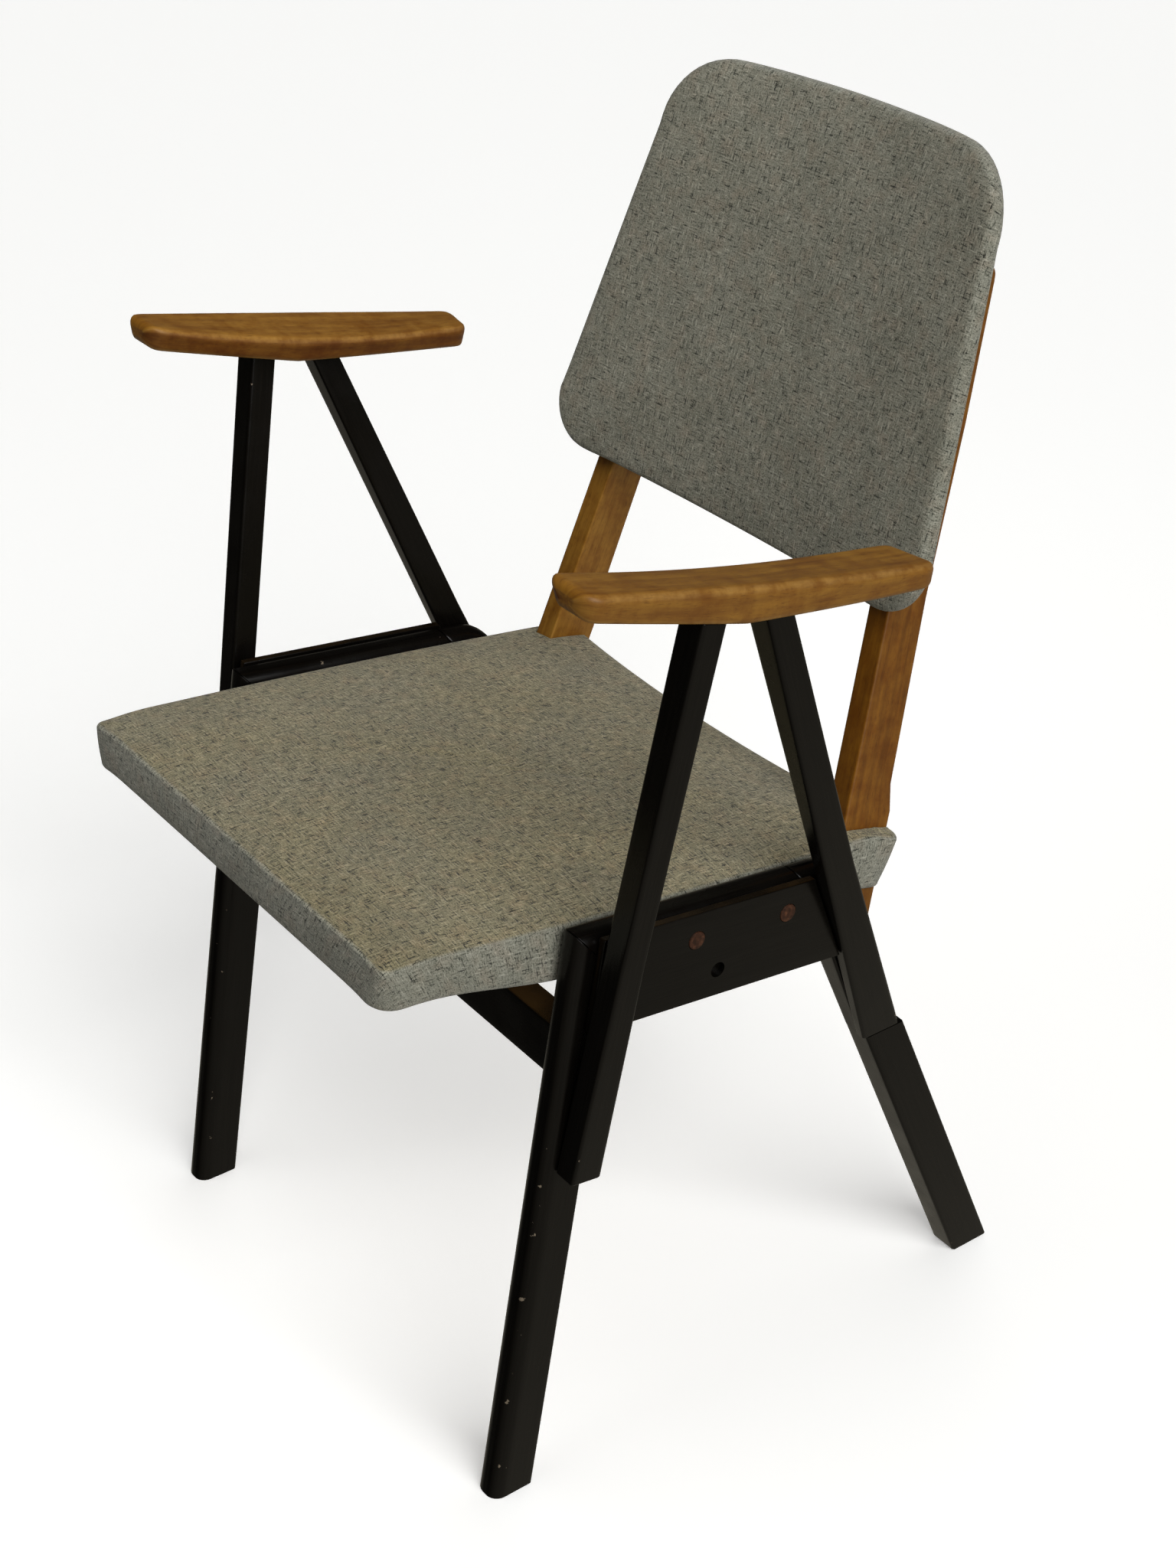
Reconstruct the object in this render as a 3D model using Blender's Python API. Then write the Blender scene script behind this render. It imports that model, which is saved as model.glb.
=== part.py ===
"""Mid-century armchair: black lacquered trestle sides, beech arms and back posts, thin upholstered seat and back.

Units are metres, +Z is up, the sitter faces -Y and +X is the sitter's left.
Side views are drawn in (y, z), with y = 0 near the middle of the side rails.
"""
import math
from collections import namedtuple

import bmesh
import bpy
from mathutils import Vector

# Clearances
FIT_GAP = 0.0003            # between pieces that touch
JOINT_GAP = 0.0006          # along the rail, at its mitre and its butt
NOTCH_GAP = 0.0010          # round a back post in the seat's notch
SEAT_GAP = 0.0005           # seat to rail, each side
CUT_OVER = 0.020            # cutters run this far past the faces they open

# Seat
SEAT_WIDTH = 0.391          # widest, between the rails
SEAT_WIDEST_Y = 0.022
SEAT_FRONT_DRAW = 0.0075    # each side narrower at the front edge
SEAT_REAR_DRAW = 0.0025
SEAT_FRONT_Y = -0.229
SEAT_REAR_Y = 0.184         # at the rear corners
SEAT_REAR_DIP = 0.014       # rear edge hollow between the back posts
SEAT_CORNER = 0.012
SEAT_BOARD_T = 0.020
SEAT_PAD_T = 0.011
SEAT_CROWN = 0.005
SEAT_WRAP = 0.006           # padding round the board's edge
SEAT_BELOW_RAIL = 0.004     # pad's edge under the rail's top
TILT = math.radians(6.9)    # seat and rails fall to the rear

# Trestle sides: front leg, rail and rear leg in one layer
RAIL_TOP_Z = 0.425          # at y = 0
LEG_T = 0.023               # across the chair
LEG_D = 0.0318              # along the side
FRONT_FOOT_Y = -0.179
REAR_FOOT_Y = 0.252
FRONT_RAKE = math.radians(9.7)
REAR_RAKE = math.radians(23.3)
BULLNOSE = 0.0095           # round front of the front leg and top of the rail
BULLNOSE_STEPS = 6
LEG_EASE = 0.0020           # worn arrises
REAR_TOP_ROUND = 0.014

# Panel on the outside of the rail
PANEL_T = 0.006
PANEL_H = 0.068
PANEL_BELOW_RAIL = 0.001
PANEL_LAP = 0.018           # panel over the front leg
PANEL_EASE = 0.0008
SPARE_HOLE_R = 0.0055
SPARE_HOLE_Y = 0.000
SPARE_HOLE_DROP = 0.049     # under the rail's top
SPARE_HOLE_DEPTH = 0.0045   # blind

# Arm posts, an inverted V under each armrest
POST_T_TOP = 0.0215
POST_EASE = 0.0022
FRONT_POST_T_FOOT = 0.0180
FRONT_POST_D = 0.0190
FRONT_POST_FOOT_DROP = 0.159    # foot under the rail's top at y = 0
FRONT_POST_RAKE = math.radians(10.6)
FRONT_POST_SETBACK = 0.0085     # behind the leg's front at the post's foot
REAR_POST_D_TOP = 0.0205
REAR_POST_D_FOOT = 0.0285
REAR_POST_FOOT_DROP = 0.171
REAR_POST_BEHIND_APEX = 0.0185  # top's front behind the armrest's apex
REAR_POST_AHEAD = 0.0030        # foot's front ahead of the leg's front
HOUSING = 0.0075                # rear post let into the leg

# Armrests
ARM_ABOVE_RAIL = 0.242      # top plane over the rail's top at y = 0
ARM_TILT = math.radians(11.5)
ARM_FRONT_Y = -0.136
ARM_REAR_Y = 0.126
ARM_APEX_Y = -0.023         # thickest, between the posts
ARM_T_APEX = 0.0245
ARM_T_END = 0.0155
ARM_W_MID = 0.0520
ARM_W_END = 0.0415
ARM_INSET = 0.0065          # armrest's middle inside the posts' middle
ARM_SKEW = 0.004            # rear end's outer corner further back than its inner one
ARM_DISH = 0.0085           # dip of the inner top edge at mid-length
ARM_INNER_RISE = 0.0030     # inner top edge over the top plane at the ends
ARM_OUTER_RISE = 0.0018
ARM_EDGE = 0.0048
ARM_STATIONS = 17

# Stretchers, tenoned into the legs
STRETCHER_T = 0.020
STRETCHER_H = 0.042
FRONT_STRETCHER_DROP = 0.082    # middle under the rail's top at y = 0
FRONT_STRETCHER_BACK = 0.003    # behind the leg's middle
REAR_STRETCHER_DROP = 0.082
STRETCHER_EASE = 0.0012
TENON_LONG = 0.012
TENON_T = 0.010
TENON_H = 0.026

# Back
BACK_RAKE = math.radians(18.9)
BACK_FOOT_Y = 0.1675        # front face at the bottom edge, at the sides
BACK_ABOVE_RAIL = 0.135     # bottom edge over the rail's top at y = 0
BACK_H = 0.297
BACK_W_FOOT = 0.412
BACK_W_TOP = 0.318
BACK_CORNER = 0.052
BACK_TOP_RISE = 0.005       # top edge arched
BACK_BOW = 0.015            # middle further back than the sides
BACK_BOARD_T = 0.006
BACK_PAD_T = 0.006
BACK_WRAP = 0.004           # padding round the board's edge
BACK_CROWN = 0.004

# Back posts
POST_W = 0.0190             # across
POST_FROM_RAIL = 0.0180     # outer face from the rail, at the rail's top
POST_LEAN = math.radians(7.6)   # posts close in upwards
POST_RAKE = math.radians(17.8)
POST_TOP_UP = 0.202         # top over the back's bottom edge
POST_TOP_ROUND = 0.012
POST_D_FOOT = 0.0430        # below the knee at the seat
POST_D_SEAT = 0.0380
POST_D_TOP = 0.0280

# Fasteners
BOLT_R = 0.0030
BOLT_HEAD_R = 0.0064
BOLT_HEAD_T = 0.0026
BOLT_HEAD_SUNK = 0.0008
BOLT_PAST_RAIL = 0.030
BOLT_ABOVE_MID = 0.004      # above the seat board's middle
BOLT_FROM_LEG = 0.0273      # rear bolt ahead of the rear leg
BOLT_APART = 0.076
DOWEL_R = 0.0040
DOWEL_IN = 0.012            # into each piece
SCREW_R = 0.0020
SCREW_HEAD_R = 0.0040
SCREW_HEAD_T = 0.0022
POST_SCREW_UP = 0.032       # over an arm post's foot
POST_SCREW_SHORT = 0.0045   # short of an arm post's outer face
BACK_SCREW_LOW = 0.050      # over the back's bottom edge
BACK_SCREW_HIGH = 0.160
BACK_SCREW_BITE = 0.0036    # into the back board
BACK_BOLT_BITE = 0.014      # into the rear stretcher
HEAD_DEPTH = 0.0060         # heads sunk in the back posts' rear faces
ROUND_STEPS = 12

# Edge of a pad: how far in, and how far up its thickness from the underside to the face
PAD_EDGE = ((0.0024, 0.0), (0.0003, 0.25), (0.0, 0.60), (0.0014, 0.86), (0.0045, 1.0))
BENT_SHARES = (0.25, 0.5, 0.75)     # inner rings of a board that bends

# Worked-out places
FRAME_IN = SEAT_WIDTH / 2 + SEAT_GAP
FRAME_OUT = FRAME_IN + LEG_T
FRAME_MID = (FRAME_IN + FRAME_OUT) / 2
PANEL_IN = FRAME_OUT + FIT_GAP
PANEL_OUT = PANEL_IN + PANEL_T
FRONT_POST_FOOT_Z = RAIL_TOP_Z - FRONT_POST_FOOT_DROP
REAR_POST_FOOT_Z = RAIL_TOP_Z - REAR_POST_FOOT_DROP
FRONT_STRETCHER_Z = RAIL_TOP_Z - FRONT_STRETCHER_DROP
REAR_STRETCHER_Z = RAIL_TOP_Z - REAR_STRETCHER_DROP
BACK_FOOT_Z = RAIL_TOP_Z + BACK_ABOVE_RAIL
POST_TOP_Z = BACK_FOOT_Z + POST_TOP_UP
POST_FOOT_Z = REAR_STRETCHER_Z - STRETCHER_H / 2
DOWEL = ((-DOWEL_IN, DOWEL_R), (DOWEL_IN, DOWEL_R))
SIDES = ((1, "left"), (-1, "right"))


def blend(a, b, t):
    return a + (b - a) * t


def line_through(z0, v0, z1, v1):
    """Straight line as a function of height."""
    return lambda z: blend(v0, v1, (z - z0) / (z1 - z0))


def meet(across, along):
    """Point where y = across(z) crosses z = along(y), both straight lines."""
    k = across(1.0) - across(0.0)
    m = along(1.0) - along(0.0)
    z = (along(0.0) + m * across(0.0)) / (1.0 - m * k)
    return across(z), z


# Side view: heights along the rail, panel and seat, and fronts and rears of the legs

def rail_top(y):
    return RAIL_TOP_Z - math.tan(TILT) * y


def rail_bottom(y):
    return rail_top(y) - LEG_D / math.cos(TILT)


def panel_top(y):
    return rail_top(y) - PANEL_BELOW_RAIL


def panel_bottom(y):
    return panel_top(y) - PANEL_H


def seat_top(y):
    """Height of the pad's edge, on the seat's tilted plane."""
    return rail_top(y) - SEAT_BELOW_RAIL


def front_leg_front(z):
    return FRONT_FOOT_Y + math.tan(FRONT_RAKE) * z


def front_leg_rear(z):
    return front_leg_front(z) + LEG_D / math.cos(FRONT_RAKE)


def rear_leg_front(z):
    return REAR_FOOT_Y - math.tan(REAR_RAKE) * z


def rear_leg_rear(z):
    return rear_leg_front(z) + LEG_D / math.cos(REAR_RAKE)


# Armrest: its top plane, and its underside as a shallow V that thins from the apex to both ends

def arm_top(y):
    return RAIL_TOP_Z + ARM_ABOVE_RAIL - math.tan(ARM_TILT) * y


def arm_bottom_front(y):
    fall = (ARM_T_APEX - ARM_T_END) / (ARM_APEX_Y - ARM_FRONT_Y)
    return arm_top(y) - ARM_T_APEX + fall * (ARM_APEX_Y - y)


def arm_bottom_rear(y):
    fall = (ARM_T_APEX - ARM_T_END) / (ARM_REAR_Y - ARM_APEX_Y)
    return arm_top(y) - ARM_T_APEX + fall * (y - ARM_APEX_Y)


# Front arm post: seated on the leg at its foot and on the panel's lower edge, so it leans outwards

def front_post_front(z):
    foot = front_leg_front(FRONT_POST_FOOT_Z) + FRONT_POST_SETBACK
    return foot + math.tan(FRONT_POST_RAKE) * (z - FRONT_POST_FOOT_Z)


def front_post_rear(z):
    return front_post_front(z) + FRONT_POST_D / math.cos(FRONT_POST_RAKE)


FRONT_POST_TOP_Z = meet(front_post_front, arm_bottom_front)[1]
PANEL_SEAT_Z = meet(front_post_front, panel_bottom)[1]
POST_SPREAD = (PANEL_T + FIT_GAP) / (PANEL_SEAT_Z - FRONT_POST_FOOT_Z)
POST_FOOT_IN = FRAME_OUT + FIT_GAP
POST_TOP_IN = POST_FOOT_IN + POST_SPREAD * (FRONT_POST_TOP_Z - FRONT_POST_FOOT_Z)
POST_TOP_OUT = POST_TOP_IN + POST_T_TOP
ARM_MID_X = (POST_TOP_IN + POST_TOP_OUT) / 2 - ARM_INSET

# Rear arm post: its foot is let into the rear leg, flush with the leg's outer face
REAR_POST_TOP_Y = ARM_APEX_Y + REAR_POST_BEHIND_APEX
REAR_POST_TOP_Z = arm_bottom_rear(REAR_POST_TOP_Y)
REAR_POST_FOOT_Y = rear_leg_front(REAR_POST_FOOT_Z) - REAR_POST_AHEAD

ArmPost = namedtuple("ArmPost", "name front rear inner outer foot_z foot_slant under")
FRONT_POST = ArmPost(
    "front", front_post_front, front_post_rear,
    line_through(FRONT_POST_FOOT_Z, POST_FOOT_IN, FRONT_POST_TOP_Z, POST_TOP_IN),
    line_through(FRONT_POST_FOOT_Z, POST_FOOT_IN + FRONT_POST_T_FOOT, FRONT_POST_TOP_Z, POST_TOP_OUT),
    FRONT_POST_FOOT_Z, FRONT_POST_D * math.sin(FRONT_POST_RAKE), arm_bottom_front)
REAR_POST = ArmPost(
    "rear",
    line_through(REAR_POST_FOOT_Z, REAR_POST_FOOT_Y, REAR_POST_TOP_Z, REAR_POST_TOP_Y),
    line_through(REAR_POST_FOOT_Z, REAR_POST_FOOT_Y + REAR_POST_D_FOOT,
                 REAR_POST_TOP_Z, REAR_POST_TOP_Y + REAR_POST_D_TOP),
    line_through(REAR_POST_FOOT_Z, FRAME_OUT - HOUSING, REAR_POST_TOP_Z, POST_TOP_IN),
    line_through(REAR_POST_FOOT_Z, FRAME_OUT, REAR_POST_TOP_Z, POST_TOP_OUT),
    REAR_POST_FOOT_Z, 0.0, arm_bottom_rear)


# Back: a plane at BACK_RAKE, with v up its slope and w out of its front face

def back_half(v):
    """Half of the back's width at v up its slope."""
    return blend(BACK_W_FOOT, BACK_W_TOP, v / BACK_H) / 2


def back_bow(x, v):
    """How far the curved back lies behind its side edges."""
    return BACK_BOW * (1.0 - (x / back_half(v)) ** 2)


def back_flat(x, v, w):
    """World point of the back's own axes, without the bow."""
    y = BACK_FOOT_Y + v * math.sin(BACK_RAKE) - w * math.cos(BACK_RAKE)
    z = BACK_FOOT_Z + v * math.cos(BACK_RAKE) + w * math.sin(BACK_RAKE)
    return Vector((x, y, z))


def back_bent(x, v, w):
    """World point of the bowed back, w counted from the board's face."""
    return back_flat(x, v, w - BACK_PAD_T - back_bow(x, v))


def board_rear(x, z):
    """World point of the back board's rear face at this x and height."""
    v = (z - BACK_FOOT_Z) / math.cos(BACK_RAKE)
    w = -(BACK_PAD_T + BACK_BOARD_T + back_bow(x, v))
    return back_flat(x, v - w * math.tan(BACK_RAKE), w)


# Back posts: they bear on the back board at their tops and stand a little further off lower down

def post_out(z):
    return FRAME_IN - POST_FROM_RAIL - math.tan(POST_LEAN) * (z - RAIL_TOP_Z)


def post_in(z):
    return post_out(z) - POST_W


POST_TOP_Y = board_rear(post_in(POST_TOP_Z), POST_TOP_Z).y + 2 * FIT_GAP
POST_NORMAL = Vector((0.0, -math.cos(POST_RAKE), math.sin(POST_RAKE)))
POST_ALONG = Vector((0.0, math.sin(POST_RAKE), math.cos(POST_RAKE)))


def post_front(z):
    return POST_TOP_Y + math.tan(POST_RAKE) * (z - POST_TOP_Z)


def post_rear(z):
    """Rear of a back post: even below the seat, tapering from there to its top."""
    if z < RAIL_TOP_Z:
        return post_front(z) + POST_D_FOOT
    return post_front(z) + blend(POST_D_SEAT, POST_D_TOP, (z - RAIL_TOP_Z) / (POST_TOP_Z - RAIL_TOP_Z))


def add_material(name, colour, roughness, metallic=0.0):
    """Principled BSDF with one colour."""
    material = bpy.data.materials.new(name)
    material.use_nodes = True
    shader = material.node_tree.nodes["Principled BSDF"]
    shader.inputs["Base Color"].default_value = (*colour, 1.0)
    shader.inputs["Roughness"].default_value = roughness
    shader.inputs["Metallic"].default_value = metallic
    material.diffuse_color = (*colour, 1.0)
    return material


def make_object(name, bm, material, smooth=False):
    """Turn a closed bmesh into a named object under the chair's empty, faces out."""
    bmesh.ops.recalc_face_normals(bm, faces=bm.faces)
    mesh = bpy.data.meshes.new(name)
    bm.to_mesh(mesh)
    bm.free()
    mesh.materials.append(MATERIALS[material])
    if smooth:
        mesh.shade_smooth()
        mesh.set_sharp_from_angle(angle=math.radians(35))
    thing = bpy.data.objects.new(name, mesh)
    bpy.context.scene.collection.objects.link(thing)
    thing.parent = CHAIR
    return thing


def ease(thing, width, segments=2):
    """Round the sharp arrises of a piece."""
    bevel = thing.modifiers.new("ease", "BEVEL")
    bevel.width = width
    bevel.segments = segments
    bevel.limit_method = "ANGLE"
    bevel.angle_limit = math.radians(40)


def cut(cutter, *pieces):
    """Take the cutter's shape out of each piece."""
    cutter.hide_render = True
    cutter.display_type = "WIRE"
    for piece in pieces:
        boolean = piece.modifiers.new("cut " + cutter.name, "BOOLEAN")
        boolean.operation = "DIFFERENCE"
        boolean.solver = "EXACT"
        boolean.object = cutter


def bridge(bm, low, high):
    """Skin between two rings of the same length."""
    count = len(low)
    for i in range(count):
        j = (i + 1) % count
        bm.faces.new((low[i], low[j], high[j], high[i]))


def fillet(points, index, radius, steps=4):
    """Round one corner of a (y, z) outline with an arc."""
    corner = Vector(points[index])
    back = (Vector(points[index - 1]) - corner).normalized()
    ahead = (Vector(points[(index + 1) % len(points)]) - corner).normalized()
    half = back.angle(ahead) / 2
    reach = radius / math.tan(half)
    centre = corner + (back + ahead).normalized() * (radius / math.sin(half))
    start = corner + back * reach - centre
    end = corner + ahead * reach - centre
    whole = math.sin(start.angle(end))
    curve = []
    for k in range(steps + 1):
        turn = start.angle(end) * k / steps
        spoke = (start * math.sin(start.angle(end) - turn) + end * math.sin(turn)) / whole
        curve.append(tuple(centre + spoke))
    return points[:index] + curve + points[index + 1:]


def slab(name, outline, inner, outer, side, material, nose_edge=None):
    """Flat piece from a (y, z) outline between the faces x = inner(z) and x = outer(z), on one side.

    Both arrises along the outline's edge nose_edge are rounded to a bullnose.
    """
    bm = bmesh.new()
    rims = []
    for face_x in (inner, outer):
        rims.append([bm.verts.new((side * face_x(z), y, z)) for y, z in outline])
    for rim in rims:
        bm.faces.new(rim)
    bridge(bm, *rims)
    if nose_edge is not None:
        ends = nose_edge, (nose_edge + 1) % len(outline)
        edges = [bm.edges.get([rim[k] for k in ends]) for rim in rims]
        bmesh.ops.recalc_face_normals(bm, faces=bm.faces)
        bmesh.ops.bevel(bm, geom=edges, offset=BULLNOSE, segments=BULLNOSE_STEPS, profile=0.5, affect="EDGES")
    return make_object(name, bm, material)


def flat(x):
    """Face at a constant x."""
    return lambda z: x


def turned(name, profile, base, axis, material):
    """Round piece from a profile of (distance along the axis, radius), closed by flat ends."""
    bm = bmesh.new()
    axis = Vector(axis).normalized()
    across = axis.orthogonal().normalized()
    up = axis.cross(across)
    spokes = []
    for k in range(ROUND_STEPS):
        turn = 2 * math.pi * k / ROUND_STEPS
        spokes.append(across * math.cos(turn) + up * math.sin(turn))
    rings = []
    for along, radius in profile:
        centre = Vector(base) + axis * along
        rings.append([bm.verts.new(centre + spoke * radius) for spoke in spokes])
    for low, high in zip(rings, rings[1:]):
        bridge(bm, low, high)
    bm.faces.new(rings[0])
    bm.faces.new(rings[-1])
    return make_object(name, bm, material, smooth=True)


def fastener(name, profile, base, axis, material, pieces, mouth=FIT_GAP):
    """Round fastener and its clearance hole in each piece; the hole goes on by mouth behind its head."""
    hole = [(along, radius + FIT_GAP) for along, radius in profile]
    hole[0] = (profile[0][0] - mouth, hole[0][1])
    hole[-1] = (profile[-1][0] + FIT_GAP, hole[-1][1])
    cut(turned(name + "_hole", hole, base, axis, material), *pieces)
    turned(name, profile, base, axis, material)


def countersunk(length, head_r, head_t, shank_r):
    """Profile of a countersunk screw or bolt, head first."""
    return [(0.0, head_r), (head_t, head_r), (head_t + head_r - shank_r, shank_r), (length, shank_r)]


def rectangle(bm, place, x, half_t, half_h):
    """Ring of four corners at x, placed by place(x, t, h)."""
    return [bm.verts.new(place(x, a * half_t, b * half_h)) for a, b in ((-1, -1), (1, -1), (1, 1), (-1, 1))]


def tenoned_bar(name, half_length, place):
    """Stretcher of rectangular section with a stub tenon on each end."""
    bm = bmesh.new()
    end = half_length + TENON_LONG
    body = STRETCHER_T / 2, STRETCHER_H / 2
    tenon = TENON_T / 2, TENON_H / 2
    stations = [(-end, tenon), (-half_length, tenon), (-half_length, body),
                (half_length, body), (half_length, tenon), (end, tenon)]
    rings = [rectangle(bm, place, x, *section) for x, section in stations]
    for low, high in zip(rings, rings[1:]):
        bridge(bm, low, high)
    bm.faces.new(rings[0])
    bm.faces.new(rings[-1])
    arrises = [bm.edges.get(ends) for ends in zip(rings[2], rings[3])]
    bmesh.ops.recalc_face_normals(bm, faces=bm.faces)
    bmesh.ops.bevel(bm, geom=arrises, offset=STRETCHER_EASE, segments=2, profile=0.5, affect="EDGES")
    return make_object(name, bm, "lacquer")


def mortise(name, side, half_length, place):
    """Cutter for the pocket that takes one tenon."""
    bm = bmesh.new()
    half_t = TENON_T / 2 + FIT_GAP
    half_h = TENON_H / 2 + FIT_GAP
    near = rectangle(bm, place, side * (half_length - CUT_OVER), half_t, half_h)
    far = rectangle(bm, place, side * (half_length + TENON_LONG + FIT_GAP), half_t, half_h)
    bridge(bm, near, far)
    bm.faces.new(near)
    bm.faces.new(far)
    return make_object(name, bm, "lacquer")


def ringed(name, rings, material, smooth=True):
    """Closed skin through a stack of equal rings, each end closed by a fan to its centre.

    The diagonals are set here, so that two skins with the same rings stay evenly apart.
    """
    bm = bmesh.new()
    loops = [[bm.verts.new(p) for p in ring] for ring in rings]
    count = len(loops[0])
    for low, high in zip(loops, loops[1:]):
        for i in range(count):
            j = (i + 1) % count
            bm.faces.new((low[i], low[j], high[j]))
            bm.faces.new((low[i], high[j], high[i]))
    for loop in (loops[0], loops[-1]):
        middle = bm.verts.new(sum((v.co for v in loop), Vector()) / count)
        for i in range(count):
            bm.faces.new((loop[i], loop[(i + 1) % count], middle))
    return make_object(name, bm, material, smooth=smooth)


def quarter(cx, cy, radius, start, steps):
    """Points of a quarter round that begins at this many quarter turns."""
    angles = [(start + k / steps) * math.pi / 2 for k in range(steps + 1)]
    return [(cx + radius * math.cos(a), cy + radius * math.sin(a)) for a in angles]


def pad_outline(low, high, half_at, corner, high_dip, sides=7, ends=6, corner_steps=5):
    """Outline with ends at low and high, sides at half_at(v), and rounded corners.

    The end at high is hollowed by high_dip at its middle.
    """
    low_half = half_at(low + corner) - corner
    high_half = half_at(high - corner) - corner
    points = [(blend(-low_half, low_half, k / ends), low) for k in range(1, ends)]
    points += quarter(low_half, low + corner, corner, -1, corner_steps)
    rise = [blend(low + corner, high - corner, k / sides) for k in range(1, sides)]
    points += [(half_at(v), v) for v in rise]
    points += quarter(high_half, high - corner, corner, 0, corner_steps)
    for k in range(1, ends):
        share = blend(1, -1, k / ends)
        points.append((share * high_half, high - high_dip * (1 - share ** 2)))
    points += quarter(-high_half, high - corner, corner, 1, corner_steps)
    points += [(-half_at(v), v) for v in reversed(rise)]
    points += quarter(-low_half, low + corner, corner, 2, corner_steps)
    return points


def inset(outline, depth):
    """Outline moved in by a depth, along the normals at its points."""
    moved = []
    for i, (x, v) in enumerate(outline):
        before = Vector(outline[i - 1])
        after = Vector(outline[(i + 1) % len(outline)])
        along = (after - before).normalized()
        moved.append((x - along.y * depth, v + along.x * depth))
    return moved


def shrink(outline, share):
    """Outline drawn in towards its middle."""
    middle = sum((Vector(p) for p in outline), Vector((0.0, 0.0))) / len(outline)
    return [tuple(middle.lerp(Vector(p), share)) for p in outline]


def placed(outline, w, place):
    return [place(x, v, w) for x, v in outline]


def board_rings(outline, bottom, top, place, shares):
    """Rings of a board between two depths; the inner rings at shares let it bend."""
    rings = [placed(shrink(outline, s), bottom, place) for s in shares]
    rings += [placed(outline, bottom, place), placed(outline, top, place)]
    rings += [placed(shrink(outline, s), top, place) for s in reversed(shares)]
    return rings


def cushion_rings(outline, bottom, top, crown, place, shares):
    """Rings of a thin pad: flat underneath, sides drawn in below, edge rounded over, face crowned."""
    rings = [placed(shrink(outline, s), bottom, place) for s in shares]
    for depth, rise in PAD_EDGE:
        rings.append(placed(inset(outline, depth), blend(bottom, top, rise), place))
    face = inset(outline, PAD_EDGE[-1][0])
    for share in (0.85, 0.6, 0.3):
        rings.append(placed(shrink(face, share), top + crown * (1 - share ** 2), place))
    return rings


def padded_board(name, outline, wrap, board_t, pad_t, crown, place, shares):
    """Board, and the pad that is wrapped round its face and edges with a pocket behind for it."""
    core = inset(outline, wrap)
    board = ringed(name + "_board", board_rings(core, -board_t, 0.0, place, shares), "plywood", smooth=False)
    pad = ringed(name + "_pad", cushion_rings(outline, -board_t, pad_t, crown, place, shares), "fabric")
    room = board_rings(inset(core, -FIT_GAP), -board_t - CUT_OVER, FIT_GAP, place, shares)
    cut(ringed(name + "_pocket", room, "fabric"), pad)
    return board, pad


def seat_half(y):
    """Half of the seat's width at y: widest between the rails, drawn in towards the front and the rear."""
    end, draw = (SEAT_FRONT_Y, SEAT_FRONT_DRAW) if y < SEAT_WIDEST_Y else (SEAT_REAR_Y, SEAT_REAR_DRAW)
    return SEAT_WIDTH / 2 - draw * ((y - SEAT_WIDEST_Y) / (end - SEAT_WIDEST_Y)) ** 2


def seat_place(x, v, w):
    """World point of the seat's axes: v back down its slope, w square to it from the board's top."""
    w -= SEAT_PAD_T
    y = v * math.cos(TILT) + w * math.sin(TILT)
    return Vector((x, y, seat_top(0.0) - v * math.sin(TILT) + w * math.cos(TILT)))


def build_seat():
    """Plywood seat board and its pad, both notched for the back posts."""
    outline = pad_outline(SEAT_FRONT_Y, SEAT_REAR_Y, seat_half, SEAT_CORNER, SEAT_REAR_DIP)
    board, pad = padded_board("seat", outline, SEAT_WRAP, SEAT_BOARD_T, SEAT_PAD_T, SEAT_CROWN, seat_place, ())
    plane = meet(post_front, seat_top)[1]
    low = plane - SEAT_BOARD_T - SEAT_PAD_T - 2 * CUT_OVER
    high = plane + SEAT_CROWN + 2 * CUT_OVER
    open_y = SEAT_REAR_Y + CUT_OVER
    around = [(post_front(low) - NOTCH_GAP, low), (open_y, low), (open_y, high), (post_front(high) - NOTCH_GAP, high)]
    for side, tag in SIDES:
        notch = slab(tag + "_notch", around, lambda z: post_in(z) - NOTCH_GAP, lambda z: post_out(z) + NOTCH_GAP,
                     side, "fabric")
        cut(notch, board, pad)
    return board, pad


def build_back():
    """Bent plywood back board and its pad; returns the board."""
    outline = pad_outline(0.0, BACK_H, back_half, BACK_CORNER, -BACK_TOP_RISE)
    return padded_board("back", outline, BACK_WRAP, BACK_BOARD_T, BACK_PAD_T, BACK_CROWN, back_bent, BENT_SHARES)[0]


def front_stretcher_place(x, t, h):
    """Front stretcher: upright, in the front legs."""
    middle = (front_leg_front(FRONT_STRETCHER_Z) + front_leg_rear(FRONT_STRETCHER_Z)) / 2
    return Vector((x, middle + FRONT_STRETCHER_BACK + t, FRONT_STRETCHER_Z + h))


def rear_stretcher_place(x, t, h):
    """Rear stretcher: in the rear legs, its rear face against the back posts."""
    on_post = Vector((x, post_front(REAR_STRETCHER_Z), REAR_STRETCHER_Z))
    return on_post + POST_NORMAL * (FIT_GAP + STRETCHER_T / 2 - t) + POST_ALONG * h


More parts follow.
